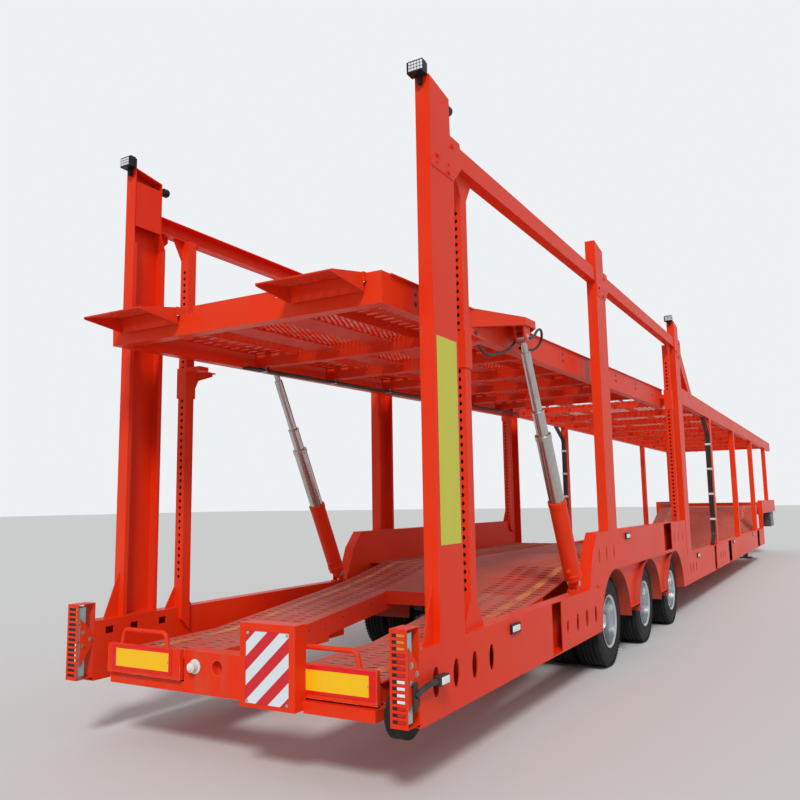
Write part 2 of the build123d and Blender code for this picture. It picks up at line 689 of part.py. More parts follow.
def outrigger():
    """The tapering bracket, open below, that holds a cylinder's rod end outside the deck's side beam."""
    back, front = OUTRIGGER
    wide = front - OUTRIGGER_TIP
    top, tip = DECK_TOP, DECK_TOP + OUTRIGGER_RISE
    low = top - 2 * OUTRIGGER_DEEP[0]
    inside, edge = DECK_HALF - 1, OUTRIGGER_X + 1
    shape = across([(DECK_HALF, top - OUTRIGGER_DEEP[0]), (OUTRIGGER_X, tip - OUTRIGGER_DEEP[1]),
                    (OUTRIGGER_X, tip), (DECK_HALF, top)], (back, front))
    shape -= flat_plate([(DECK_HALF, back - 1), (edge, back - 1), (edge, wide)], (low, 2 * tip))
    room = across([(inside, low), (edge, low), (edge, tip - LUG), (inside, top - LUG)], (back - 1, front + 1))
    plan = [(inside, back + 2 * PLATE), (OUTRIGGER_X - PLATE, wide + PLATE),
            (OUTRIGGER_X - PLATE, front - PLATE), (inside, front - PLATE)]
    shape -= room & flat_plate(plan, (low, 2 * tip))
    eye_y, eye_z = eye_in_deck()
    for x in lug_places():
        reach = top + OUTRIGGER_RISE * (x - DECK_HALF) / (OUTRIGGER_X - DECK_HALF) - LUG / 2
        lug = [(eye_y - 2 * EYE_R, reach), (eye_y + 2 * EYE_R, reach), (eye_y + EYE_R, eye_z - EYE_R),
               (eye_y - EYE_R, eye_z - EYE_R)]
        shape += side_plate(lug, (x, x + LUG))
    return shape


def lug_places():
    """Where the two lug plates on each side of a cylinder's eye start along X."""
    reach = EYE_WIDTH / 2 + RUNNING_GAP
    return (CYL_X - reach - LUG, CYL_X + reach)


def eye_in_deck():
    """The rod eye's place in the deck's own level frame."""
    dy = CYL_EYE[0] - DECK_PIVOT[0]
    dz = CYL_EYE[1] - DECK_PIVOT[1]
    turn = math.radians(-DECK_SLOPE)
    return (dy * math.cos(turn) - dz * math.sin(turn), dy * math.sin(turn) + dz * math.cos(turn))


def deck_floor():
    """The mesh floor between the side beams on cross members and two inner bars."""
    top = DECK_TOP - DECK_TRACK_DROP
    low = top - DECK_CROSS[1]
    rear = DECK_REAR + END_BAR
    pieces = [block((-DECK_IN, DECK_IN), (rear, DECK_FRONT), (top, top + FLOOR))]
    for i in range(DECK_CROSS_COUNT):
        y = centred(DECK_CROSS_FIRST + DECK_CROSS_PITCH * i, DECK_CROSS[0])
        pieces.append(block((-DECK_IN, DECK_IN), y, (low, top)))
    for side in (1, -1):
        bar_x = [side * x for x in DECK_BAR]
        foot = top - DECK_BAR_DEPTH
        pieces.append(block(bar_x, (rear, DECK_FRONT), (foot, foot + PLATE)))
        pieces.append(block(centred(sum(bar_x) / 2, PLATE), (rear, DECK_FRONT), (foot, top)))
    return on_deck(fuse(pieces))


def flap():
    """A slotted wedge-shaped flap on its tube, drawn level and then drooped."""
    top = FLAP_TUBE_R
    shape = block(FLAP_X, (-FLAP_LENGTH, 0), (top - FLAP_PLATE, top))
    back = -FLAP_TUBE_R / 2
    cheek = [(0, top), (-FLAP_LENGTH, top), (-FLAP_LENGTH, top - 2 * FLAP_PLATE),
             (back, top - FLAP_CHEEK), (back, 0)]
    for x in (FLAP_X[0], FLAP_X[1] - PLATE):
        shape += side_plate(cheek, (x, x + PLATE))
    shape += block(FLAP_X, (back - FLAP_PLATE, back), (top - FLAP_CHEEK, 0))
    across, along = FLAP_SLOTS
    pitch_x = (FLAP_X[1] - FLAP_X[0]) / (across + 1)
    pitch_y = FLAP_LENGTH / (along + 1)
    for i in range(across):
        for j in range(along):
            shape -= block(centred(FLAP_X[0] + pitch_x * (i + 1), FLAP_SLOT[0]),
                           centred(-pitch_y * (j + 1) - FLAP_TUBE_R / 2, FLAP_SLOT[1]),
                           (top - 2 * FLAP_PLATE, top + 1))
    shape += rod(FLAP_X, 0, 0, FLAP_TUBE_R)
    shape -= rod((FLAP_X[0] - 1, FLAP_X[1] + 1), 0, 0, FLAP_PIN_R + FLAP_PIN_GAP)
    return on_deck(Pos(0, DECK_REAR - FLAP_OUT, DECK_TOP - FLAP_DROP) * Rot(FLAP_DROOP, 0, 0) * shape)


def end_beam():
    """The rear cross beam with its pockets and the lugs and pins of both flaps."""
    y = (DECK_REAR, DECK_REAR + END_BAR)
    bottom = DECK_TOP - DECK_DEPTH[0]
    pocket = DECK_TOP - END_POCKET_DROP
    shape = block((-DECK_HALF, DECK_HALF), y, (bottom, pocket))
    shape += block((-END_PLATE[0], END_PLATE[0]), (y[0], y[0] + LUG), (pocket, DECK_TOP - END_PLATE[1]))
    hinge = (DECK_REAR - FLAP_OUT, DECK_TOP - FLAP_DROP)
    pieces = both(block((DECK_HALF - 95, DECK_HALF), y, (pocket, DECK_TOP)))
    for x in (FLAP_X[0] - 1 - LUG, FLAP_X[1] + 1):
        pieces += both(block((x, x + LUG), (hinge[0] - FLAP_TUBE_R, y[0] + END_BAR / 2),
                             (pocket - 1, hinge[1] + FLAP_TUBE_R)))
    pieces += both(rod((FLAP_X[0] - 1, FLAP_X[1] + 1), hinge[0], hinge[1], FLAP_PIN_R))
    return on_deck(fuse([shape] + pieces))


def along_cylinder(shape):
    """Stands a piece, drawn up from the foot pivot, along the right-hand cylinder."""
    lean = math.degrees(math.atan2(CYL_FOOT[0] - CYL_EYE[0], CYL_EYE[1] - CYL_FOOT[1]))
    return Pos(CYL_X, *CYL_FOOT) * Rot(lean, 0, 0) * shape


def tube(z, outer, inner):
    """A round tube along Z."""
    middle = (z[0] + z[1]) / 2
    return Pos(0, 0, middle) * (Cylinder(outer, z[1] - z[0]) - Cylinder(inner, z[1] - z[0] + 1))


def cylinder_pieces():
    """The barrel and the three stages of the right-hand cylinder."""
    length = math.dist(CYL_FOOT, CYL_EYE)
    eye = Rot(0, 90, 0) * Cylinder(EYE_R, EYE_WIDTH)
    barrel = tube((BARREL_FLOOR, BARREL_END), BARREL_R, STAGE_R[0] + STAGE_GAP)
    barrel += upright(0, (BARREL_START, BARREL_FLOOR), BARREL_R) + eye
    barrel += block(centred(0, EYE_WIDTH), centred(0, EYE_R), (0, BARREL_START))
    barrel -= Rot(0, 90, 0) * Cylinder(CYL_PIN_R + STAGE_GAP, EYE_WIDTH + 1)
    first = tube((STAGE_START[0], STAGE_END[0]), STAGE_R[0], STAGE_R[1] + STAGE_GAP)
    second = tube((STAGE_START[1], STAGE_END[1]), STAGE_R[1], STAGE_R[2] + STAGE_GAP)
    neck_r, neck_length = ROD_NECK
    shoulder = length - neck_length
    last = upright(0, (STAGE_START[2], shoulder), STAGE_R[2]) + upright(0, (shoulder, length), neck_r)
    last += Pos(0, 0, length) * eye
    return {"barrel": barrel, "stage_1": first, "stage_2": second, "rod": last}


def cylinder_foot():
    """The lugs and the pin on the side beam that carry a cylinder."""
    reach = EYE_WIDTH / 2 + RUNNING_GAP + LUG
    width = 2 * (CYL_PIN_R + LUG)
    shape = block((CYL_X - reach, CYL_X + reach), centred(CYL_FOOT[0], 2 * width), (SILL_TOP, SILL_TOP + LUG))
    for x in lug_places():
        shape += block((x, x + LUG), centred(CYL_FOOT[0], width), (SILL_TOP, CYL_FOOT[1]))
        shape += rod((x, x + LUG), CYL_FOOT[0], CYL_FOOT[1], width / 2)
    return shape + rod((CYL_X - reach, CYL_X + reach), CYL_FOOT[0], CYL_FOOT[1], CYL_PIN_R)


def well_floor():
    """The dropped floor ahead of the wheels on its cross members."""
    z = (SILL_BOTTOM, WELL_LINE[1][1] - FLOOR)
    pieces = [side_plate(ribbon(WELL_LINE, FLOOR), (-SILL_IN, SILL_IN))]
    pieces += [block((-SILL_IN, SILL_IN), centred(CROSS_FIRST + CROSS_PITCH * i, CROSS_BAR), z)
               for i in range(CROSS_COUNT)]
    return fuse(pieces)


def axle_deck():
    """The floor over the axles, narrow behind where the cylinders stand, with its hook beam."""
    rear = side_plate(ribbon(AXLE_DECK_LINE[:3], FLOOR), (-TRACK_OUT, TRACK_OUT))
    front = side_plate(ribbon(AXLE_DECK_LINE[2:], FLOOR), (-SILL_IN, SILL_IN))
    hook_y, hook_z = TRACK_LINE[-1]
    hook = block((-TRACK_IN, TRACK_IN), (hook_y - HOOK_BAR, hook_y), (hook_z - HOOK_BAR, hook_z))
    return rear + front + hook


def gooseneck():
    """The raised front frame: two channel sides, a cross member, a nose and the coupling plate."""
    corner = SILL_FRONT + 2 * PLATE
    side = [
        (SILL_FRONT, SILL_BOTTOM), (corner, SILL_BOTTOM), (corner, NECK_Z[0] - NECK_FILLET),
        (corner + NECK_FILLET * 0.3, NECK_Z[0] - NECK_FILLET * 0.3), (corner + NECK_FILLET, NECK_Z[0]),
        (NECK_FRONT, NECK_Z[0]), (NECK_FRONT, NECK_Z[1]), (SILL_FRONT, NECK_Z[1]),
    ]
    inside = HALF_WIDTH - 2 * PLATE
    web = side_plate(side, (inside, HALF_WIDTH))
    web += block((SILL_IN, inside), (SILL_FRONT, NECK_FRONT), (NECK_Z[1] - PLATE, NECK_Z[1]))
    web += block((SILL_IN, inside), (SILL_FRONT, corner), (SILL_BOTTOM, NECK_Z[1] - PLATE))
    across = (-inside, inside)
    pieces = both(web)
    pieces.append(block(across, (corner, corner + NECK_CROSS_DEPTH), NECK_CROSS_Z))
    pieces.append(block(across, (corner, NECK_FRONT), (NECK_Z[0], NECK_Z[0] + NECK_PLATE)))
    pieces.append(block(across, (NECK_FRONT - NECK_NOSE, NECK_FRONT), (NECK_Z[0], NECK_Z[1] - NECK_NOSE)))
    return fuse(pieces)


def neck_floor():
    """The floor over the gooseneck on its middle beam."""
    z = NECK_CROSS_Z[1]
    nose = NECK_FRONT - NECK_NOSE
    floor = block((-SILL_IN, SILL_IN), (WELL_LINE[-1][0], nose), (z, z + FLOOR))
    beam = block(centred(0, CROSS_BAR), (SILL_FRONT + 300, nose), (NECK_Z[0] + NECK_PLATE, z))
    return floor + beam


def kingpin():
    """A two-inch coupling pin in its wearing plate under the gooseneck."""
    width, length, thick = COUPLING
    z = NECK_Z[0] - thick
    steps = [block(centred(0, width), centred(KINGPIN_Y, length), (z, NECK_Z[0]))]
    for radius, length in KINGPIN:
        steps.append(upright(KINGPIN_Y, (z - length, z), radius))
        z -= length
    return fuse(steps)


def landing_legs():
    """Two square legs with flat feet and the shaft that joins them."""
    foot_z = LEG_FOOT[1]
    leg = block(centred(LEG_X, LEG_OUTER), centred(LEG_Y, LEG_OUTER), (LEG_SPLIT, NECK_Z[0]))
    leg += block(centred(LEG_X, LEG_INNER), centred(LEG_Y, LEG_INNER), (foot_z, LEG_SPLIT))
    leg += block(centred(LEG_X, LEG_FOOT[0]), centred(LEG_Y, LEG_FOOT[0]), (0, foot_z))
    shaft = rod((-LEG_X, LEG_X), LEG_Y, LEG_BRACE_Z, 20)
    return fuse(both(leg) + [shaft])


def front_deck_floor():
    """The upper front deck's wheel tracks on their cross members."""
    reach = HALF_WIDTH - UPPER_WIDTH
    z = (UPPER_Z[0] + PLATE, UPPER_Z[0] + PLATE + UPPER_CROSS)
    count = int((UPPER_FRONT - UPPER_REAR - 2 * UPPER_CROSS) / UPPER_CROSS_PITCH) + 1
    first = UPPER_REAR + UPPER_CROSS
    pieces = [block((-reach, reach), centred(first + UPPER_CROSS_PITCH * i, UPPER_CROSS), z) for i in range(count)]
    for x in (UPPER_TRACK, (-UPPER_TRACK[1], -UPPER_TRACK[0])):
        pieces.append(block(x, (UPPER_REAR, UPPER_FRONT), (z[1], z[1] + FLOOR)))
    return fuse(pieces)


def front_beam():
    """A channel beam along the upper front deck, open inwards."""
    x = (HALF_WIDTH - UPPER_WIDTH, HALF_WIDTH)
    beam = block(x, (UPPER_REAR, UPPER_FRONT), UPPER_Z)
    beam -= block((x[0] + PLATE, HALF_WIDTH - PLATE), (UPPER_REAR - 1, UPPER_FRONT + 1),
                  (UPPER_Z[0] + PLATE, UPPER_Z[1] - PLATE))
    return beam - block((x[0] - 1, x[0] + 2 * PLATE), (UPPER_REAR - 1, UPPER_FRONT + 1),
                        (UPPER_Z[0] + PLATE + UPPER_CROSS, UPPER_Z[1] - PLATE))


def top_rails():
    """The channel rails between the wide posts' heads and the sloping braces ahead of them."""
    rails = []
    for (y0, _, _), (y1, _, _) in zip(POSTS, POSTS[1:]):
        y = (y0 + HEAD_DEPTH, y1)
        bar = block(RAIL_X, y, RAIL_Z)
        inside = (RAIL_Z[0] + PLATE, RAIL_Z[1] - PLATE)
        bar -= block((RAIL_X[0] - 1, RAIL_X[1] - PLATE), (y[0] - 1, y[1] + 1), inside)
        rails += both(bar)
    brace = [(UPPER_REAR, BRACE_HEAD[0]), (BRACE_FOOT[0], UPPER_Z[1]), (BRACE_FOOT[1], UPPER_Z[1]),
             (UPPER_REAR, BRACE_HEAD[1])]
    return rails + both(side_plate(brace, RAIL_X))


def work_lamp(y, head):
    """A lamp on a short stalk behind a post's head."""
    width, depth, height = WORK_LAMP
    x = centred(HALF_WIDTH - width / 2 - 5, width)
    lamp = block(x, (y - depth - 5, y - 5), (head - 10, head - 10 + height))
    return lamp + block(centred(HALF_WIDTH - 50, 20), (y - depth / 2, y), (head - 60, head - 10))


def hose_bundle():
    """The hoses down the rear face of the left-hand and right-hand first slim posts, in their clamps."""
    middle = HALF_WIDTH - FRONT_POST[0] / 2
    places = [middle + HOSE_PITCH * (i - (HOSE_COUNT - 1) / 2) for i in range(HOSE_COUNT)]
    post_y = FRONT_POSTS[0][0]
    shape = fuse([bent_tube([(x, y, z) for y, z in HOSE_LINE], HOSE_R, HOSE_BEND) for x in places])
    for z in HOSE_CLAMPS:
        shape += block(centred(middle, HOSE_COUNT * HOSE_PITCH), (HOSE_LINE[1][0] - HOSE_R - PLATE, post_y),
                       centred(z, HOSE_CLAMP))
    return shape


def deck_hoses():
    """The hoses under the left side of the upper rear deck, clamped below its cross members."""
    top = DECK_TOP - DECK_TRACK_DROP - DECK_CROSS[1]
    middle = DECK_IN - DECK_HOSE_X
    z = top - 2 * HOSE_R
    places = [middle + HOSE_PITCH * (i - (HOSE_COUNT - 1) / 2) for i in range(HOSE_COUNT)]
    hoses = [Pos(x, sum(DECK_HOSE_ENDS) / 2, z) * Rot(90, 0, 0) * Cylinder(
        HOSE_R, DECK_HOSE_ENDS[1] - DECK_HOSE_ENDS[0]) for x in places]
    across_hoses = centred(middle, HOSE_COUNT * HOSE_PITCH)
    clamps = [block(across_hoses, centred(DECK_CROSS_FIRST + DECK_CROSS_PITCH * i, HOSE_CLAMP),
                    (z - HOSE_R - 2, top)) for i in range(DECK_CROSS_COUNT)]
    return on_deck(fuse(hoses + clamps))


def lamps():
    """Work lamps behind the posts' heads, lamps along the side beams and in the tail housings."""
    shapes = both(lamp_body())
    for y, _, head in (POSTS[0], POSTS[2]):
        shapes += both(work_lamp(y, head))
    thick, length, high = SIDE_LAMP
    for y, z in SIDE_LAMPS:
        shapes += both(block((HALF_WIDTH, HALF_WIDTH + thick), centred(y, length), centred(z, high)))
    return shapes


# The nodes: a name and its solids
nodes = {
    "side_beams": both(rear_sill()) + both(front_sill()),
    "arch_panels": both(arch_panel()),
    "arch_liners": [piece for y in AXLES for piece in both(arch_liner(y))],
    "lower_tracks": both(track()),
    "axle_deck": [axle_deck()],
    "well_floor": [well_floor()],
    "neck_floor": [neck_floor()],
    "tail_beam": [tail_beam()],
    "gooseneck": [gooseneck()],
    "kingpin": [kingpin()],
    "landing_legs": [landing_legs()],
    "tool_boxes": both(block(*TOOL_BOX)),
    "pin_columns": [piece for y, foot in COLUMNS for piece in both(column(y, foot))],
    "top_rails": top_rails(),
    "front_upper_beams": both(front_beam()),
    "front_deck_floor": [front_deck_floor()],
    "lamp_housings": both(lamp_housing()),
    "lamps": lamps(),
    "hoses": both(hose_bundle()),
    "deck_hoses": [flip(deck_hoses())],
    "marker_board": [marker_board()],
    "axles": [axle(y) for y in AXLES],
    "suspension": [piece for y in AXLES for piece in both(spring(y))],
    "air_tank": [air_tank()],
    "front_collars": both(front_collar()),
    "guide_collars": both(guide_collar()),
    "deck_side_beams": both(on_deck(deck_side())),
    "deck_floor": [deck_floor()],
    "deck_end_beam": [end_beam()],
    "deck_flap_right": [flap()],
    "deck_flap_left": [flip(flap())],
    "cylinder_feet": both(cylinder_foot()),
    "ramp_right": [ramp()],
    "ramp_left": [flip(ramp())],
}

spine = [(y, z - FLOOR) for y, z in AXLE_DECK_LINE[1:]]
spine += [(AXLE_DECK_LINE[-1][0], SPINE_BOTTOM), (AXLE_DECK_LINE[1][0], SPINE_BOTTOM)]
nodes["spine_beams"] = both(side_plate(spine, SPINE_X))

wide_posts = [post(*row) for row in POSTS]
wide_posts[0] += gusset(POSTS[0][0], POSTS[0][1], (-GUSSET[0], GUSSET[1]), HALF_WIDTH - POST_WIDTH / 2)
nodes["frame_posts"] = [piece for shape in wide_posts for piece in both(shape)]
nodes["front_posts"] = []
for y, foot in FRONT_POSTS:
    shape = block((HALF_WIDTH - FRONT_POST[0], HALF_WIDTH), (y, y + FRONT_POST[1]), (foot, UPPER_Z[0]))
    nodes["front_posts"] += both(shape)

for name, shape in cylinder_pieces().items():
    nodes[f"cylinder_{name}_right"] = [along_cylinder(shape)]
    nodes[f"cylinder_{name}_left"] = [flip(along_cylinder(shape))]

roller = rod(ROLLER_X, ROLLER_Y, ROLLER_Z, ROLLER_R)
roller -= rod((ROLLER_X[0] - 1, ROLLER_X[1] + 1), ROLLER_Y, ROLLER_Z, ROLLER_PIN_R + STAGE_GAP)
nodes["tail_roller"] = [roller]

half_turn = Rot(0, 0, 180)
for number, y in enumerate(AXLES, 1):
    place = Pos(0, y, AXLE_Z)
    tyres = [tyre(TYRE_OUT), tyre(TYRE_OUT - TWIN_PITCH)]
    nodes[f"tyres_{number}_right"] = [place * piece for piece in tyres]
    nodes[f"tyres_{number}_left"] = [place * half_turn * piece for piece in tyres]
    nodes[f"wheel_{number}_right"] = [place * wheel_steel()]
    nodes[f"wheel_{number}_left"] = [place * half_turn * wheel_steel()]

# Move the origin under the middle of the trailer and write one file for each node
solids = {name: [solid for piece in pieces for solid in piece.solids()] for name, pieces in nodes.items()}
whole = Compound([solid for group in solids.values() for solid in group]).bounding_box()
origin = Pos(-(whole.min.X + whole.max.X) / 2, -(whole.min.Y + whole.max.Y) / 2, -whole.min.Z)

os.makedirs("parts", exist_ok=True)
for name, group in solids.items():
    placed = [origin * solid for solid in group]
    export_step(placed[0] if len(placed) == 1 else Compound(placed), f"parts/{name}.step")
print("nodes", len(nodes), "shift", origin.position, "size", whole.size)
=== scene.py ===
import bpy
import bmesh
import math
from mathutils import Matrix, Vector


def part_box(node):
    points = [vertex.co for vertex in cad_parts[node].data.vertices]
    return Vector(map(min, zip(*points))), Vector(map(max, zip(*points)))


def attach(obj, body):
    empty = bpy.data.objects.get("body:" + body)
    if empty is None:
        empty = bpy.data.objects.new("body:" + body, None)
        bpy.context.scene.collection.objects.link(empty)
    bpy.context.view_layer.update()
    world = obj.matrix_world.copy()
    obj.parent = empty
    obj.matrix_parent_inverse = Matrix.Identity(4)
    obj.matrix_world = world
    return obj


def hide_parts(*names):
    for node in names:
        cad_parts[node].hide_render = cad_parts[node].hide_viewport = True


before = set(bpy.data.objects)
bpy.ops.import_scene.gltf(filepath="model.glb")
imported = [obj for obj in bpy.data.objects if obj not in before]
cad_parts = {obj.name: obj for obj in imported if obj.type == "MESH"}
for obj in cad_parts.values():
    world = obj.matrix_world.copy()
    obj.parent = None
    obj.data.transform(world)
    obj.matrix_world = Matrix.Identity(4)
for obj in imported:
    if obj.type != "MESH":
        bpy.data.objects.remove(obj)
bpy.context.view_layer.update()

# %% [markdown]
# This lesson dresses a two-deck car transporter semi-trailer. The CAD model gives every
# beam, post, wheel and cylinder its true size, and it stays where it is. Here the paint,
# rubber, steel and lamps get their finish, and the small things that a maker adds last,
# such as bolts, lenses, clamps and mesh floors, are built around it.

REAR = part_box("lamp_housings")[0].y
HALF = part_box("lamp_housings")[1].x
print("rear face at", round(REAR, 3), "half width", round(HALF, 3), "nodes", len(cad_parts))

# %% [markdown]
# All measures below are in metres. A station is a distance forwards from the rear face of
# the lamp housings, so a place is written as side, station and height. The upper rear deck
# is tilted, so its fittings are drawn level about its front pins and then turned with it.
# The lifting cylinders lean too, and their rings are drawn along the cylinder.

# %% Places on the trailer
PIVOT = Vector((0, 7.300, 2.815))
TILT = Matrix.Rotation(math.radians(1.6), 4, "X")
FOOT = Vector((1.16, 2.930, 0.812))
EYE = Vector((1.16, 1.955, 2.675))
LEAN = Matrix.Rotation(math.atan2(FOOT.y - EYE.y, EYE.z - FOOT.z), 4, "X")
ON_TRAILER = Matrix.Translation((0, REAR, 0))
ON_DECK = ON_TRAILER @ Matrix.Translation(PIVOT) @ TILT
ON_CYLINDER = ON_TRAILER @ Matrix.Translation(FOOT) @ LEAN
WHOLE = Matrix.Identity(4)
SIDES = {"right": WHOLE, "left": Matrix.Scale(-1, 4, (1, 0, 0))}
QUARTER = math.radians(90)
AXLES = [3.815 + 1.372 * i for i in range(3)]
AXLE_HEIGHT = 0.395
DECK_TAIL = -7.18
DECK_TOP = 0.12
print("axles at", [round(y, 3) for y in AXLES])

# %% [markdown]
# A plate is two rows of corners with faces between them, and a turned piece or a pipe is
# many such rows. These small functions number the corners and faces of closed rows. They
# could be written out for each piece, but then every piece could have its own mistake.


# %% Rows of corners
def circle(radius, height, sides):
    """Corners round Z at one height."""
    turns = [2 * math.pi * i / sides for i in range(sides)]
    return [(radius * math.cos(a), radius * math.sin(a), height) for a in turns]


def bands(rows, sides, wrap=False):
    """Faces between closed rows of corners; wrap joins the last row to the first."""
    faces = []
    for r in range(rows if wrap else rows - 1):
        k = (r + 1) % rows
        for i in range(sides):
            j = (i + 1) % sides
            faces.append([r * sides + i, r * sides + j, k * sides + j, k * sides + i])
    return faces


def caps(rows, sides):
    """The two end faces of such rows."""
    return [list(range(sides))[::-1], list(range((rows - 1) * sides, rows * sides))]


def span(middle, half):
    return middle - half, middle + half


def plain_mesh(name, corners, faces=()):
    made = bpy.data.meshes.new(name)
    made.from_pydata(corners, [], faces)
    return made


print("two rows of six corners have", len(bands(2, 6) + caps(2, 6)), "faces")

# %% [markdown]
# Most fittings are small plates, bars and turned pieces. A `Pile` collects such solids in
# one mesh, each with its faces outwards, so that one object can hold all like fittings of
# one body. It is only a list of corners and faces until it is finished. Blender's own
# cubes and cylinders could do the same, but they would be hundreds of objects to join.

# %% A pile of solids
PIPE_SIDES = 10


class Pile:
    """Solids of one finish on one body."""

    def __init__(self):
        self.corners = []
        self.faces = []

    def add(self, corners, faces, place):
        start = len(self.corners)
        turned = place.determinant() < 0
        self.corners += [place @ Vector(c) for c in corners]
        for face in faces:
            ids = [start + i for i in face]
            self.faces.append(ids[::-1] if turned else ids)

    def prism(self, outline, x, place=ON_TRAILER):
        """A plate between two places along X, with (station, height) corners."""
        area = sum(a[0] * b[1] - b[0] * a[1] for a, b in zip(outline, outline[1:] + outline[:1]))
        points = outline if area > 0 else outline[::-1]
        n = len(points)
        self.add([(end, *p) for end in (min(x), max(x)) for p in points], caps(2, n) + bands(2, n), place)

    def block(self, x, y, z, place=ON_TRAILER):
        self.prism([(y[0], z[0]), (y[1], z[0]), (y[1], z[1]), (y[0], z[1])], x, place)

    def pair(self, x, y, z):
        """The same block on both sides of the trailer."""
        for sign in (1, -1):
            self.block((sign * x[0], sign * x[1]), y, z)

    def turned(self, profile, place, sides=24, bored=False):
        """A round solid about its own Z from (radius, height) corners; with a bore, they go all round."""
        corners = [c for spot in profile for c in circle(*spot, sides)]
        ends = [] if bored else caps(len(profile), sides)
        self.add(corners, ends + bands(len(profile), sides, bored), place)

    def pipe(self, path, radius):
        """A round bar along a path of points."""
        points = [Vector(p) for p in path]
        rings = []
        for i, point in enumerate(points):
            along = (points[min(i + 1, len(points) - 1)] - points[max(i - 1, 0)]).normalized()
            across = along.orthogonal() if i == 0 else across - along * across.dot(along)
            across.normalize()
            up = along.cross(across)
            rings += [point + across * c + up * s for c, s, flat in circle(radius, 0, PIPE_SIDES)]
        self.add(rings, caps(len(points), PIPE_SIDES) + bands(len(points), PIPE_SIDES), ON_TRAILER)

    def mesh(self, name):
        made = plain_mesh(name, self.corners, self.faces)
        made.validate()
        return made


print("piles ready, with pipes of", PIPE_SIDES, "sides")

# %% [markdown]
# A bent piece needs a smooth path, and every piece needs its body and its finish. `curve`
# rounds a path. A Bevel modifier softens the edges, so that the outlines themselves can
# stay plain.


# %% Pieces in the scene
def curve(points, steps):
    """Rounds a path of points with a Catmull-Rom curve."""
    ends = [Vector(points[0]) * 2 - Vector(points[1])] + [Vector(p) for p in points]
    ends.append(Vector(points[-1]) * 2 - Vector(points[-2]))
    path = []
    for a, b, c, d in zip(ends, ends[1:], ends[2:], ends[3:]):
        for k in range(steps):
            t = k / steps
            path.append(0.5 * ((2 * b) + (c - a) * t + (2 * a - 5 * b + 4 * c - d) * t * t
                               + (3 * b - a - 3 * c + d) * t ** 3))
    return path + [ends[-2]]


def add_object(name, data):
    """Puts an object in the scene."""
    made = bpy.data.objects.new(name, data)
    bpy.context.scene.collection.objects.link(made)
    return made


def show(name, solid, body, used, bevel=0.0, replaced=()):
    """Puts a pile or a mesh in the scene on its body, with its finish and soft edges."""
    mesh = solid.mesh(name) if isinstance(solid, Pile) else solid
    piece = add_object(name.replace(" ", "_"), mesh)
    mesh.materials.clear()
    mesh.materials.append(used)
    if bevel:
        edge = piece.modifiers.new("soft edges", "BEVEL")
        edge.width = bevel
        edge.segments = 2
        edge.limit_method = "ANGLE"
        edge.angle_limit = math.radians(40)
    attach(piece, body)
    if replaced:
        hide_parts(*replaced)
    return piece


print("places and helpers ready")

# %% [markdown]
# Materials and Geometry Nodes are both trees of nodes. Each of these functions adds a node
# and joins it to what is there, so that a finish reads as a list of steps. The same trees
# could be drawn by hand in the node editor, but a script makes them the same each time.


# %% Helpers for node trees
def feed(tree, socket, value):
    """Links a socket to an input, or gives the input a plain value."""
    if isinstance(value, bpy.types.NodeSocket):
        tree.links.new(value, socket)
    else:
        socket.default_value = value


def node(tree, kind, *feeds, **settings):
    """A new node with its settings, and with sockets or values for its inputs, by name or in turn."""
    made = tree.nodes.new(kind)
    for key, value in settings.items():
        if key in made.inputs:
            feed(tree, made.inputs[key], value)
        else:
            setattr(made, key, value)
    for socket, value in zip(made.inputs, feeds):
        feed(tree, socket, value)
    return made


def own_place(tree):
    return node(tree, "ShaderNodeTexCoord").outputs["Object"]


def parts_of(tree, vector):
    return node(tree, "ShaderNodeSeparateXYZ", vector).outputs


def noise(tree, vector, scale, detail, rough):
    made = node(tree, "ShaderNodeTexNoise", Vector=vector, Scale=scale, Detail=detail, Roughness=rough)
    return made.outputs["Fac"]


def spread(tree, value, low, high, to_low=0.0, to_high=1.0):
    return node(tree, "ShaderNodeMapRange", value, low, high, to_low, to_high, clamp=True).outputs["Result"]


def maths(tree, operation, a, b=0.0, clamp=False):
    return node(tree, "ShaderNodeMath", a, b, operation=operation, use_clamp=clamp).outputs[0]


def blend_colours(tree, mask, a, b):
    made = node(tree, "ShaderNodeMix", mask, data_type="RGBA")
    for key, value in (("A", a), ("B", b)):
        socket = [s for s in made.inputs if s.name == key and s.type == "RGBA"][0]
        feed(tree, socket, (*value, 1.0) if isinstance(value, tuple) else value)
    return [s for s in made.outputs if s.type == "RGBA"][0]


def new_tree(name, kind, inputs, outputs=()):
    """A tree with named inputs and float outputs, and its two end nodes."""
    tree = bpy.data.node_groups.new(name, kind)
    kinds = {float: "NodeSocketFloat", int: "NodeSocketInt", bpy.types.Material: "NodeSocketMaterial"}
    if kind == "GeometryNodeTree":
        for way in ("INPUT", "OUTPUT"):
            tree.interface.new_socket("Geometry", in_out=way, socket_type="NodeSocketGeometry")
    for label, value in inputs.items():
        used = [k for t, k in kinds.items() if isinstance(value, t)][0]
        tree.interface.new_socket(label, in_out="INPUT", socket_type=used).default_value = value
    for label in outputs:
        tree.interface.new_socket(label, in_out="OUTPUT", socket_type="NodeSocketFloat")
    return tree, tree.nodes.new("NodeGroupInput"), tree.nodes.new("NodeGroupOutput")


print("node helpers ready")

# %% [markdown]
# The shader groups come first, because several finishes share them. Weathering gives masks
# that change over the surface: broad fading, dirt that gathers in streaks, fine grain and
# specks. Edge wear compares the true normal with one that is rounded near an edge, so the
# paint can thin there. Both read Object coordinates, which don't slide when a piece moves.
# A painted picture could carry the same dirt, but every face would have to be unwrapped
# first, and noise needs none of that.


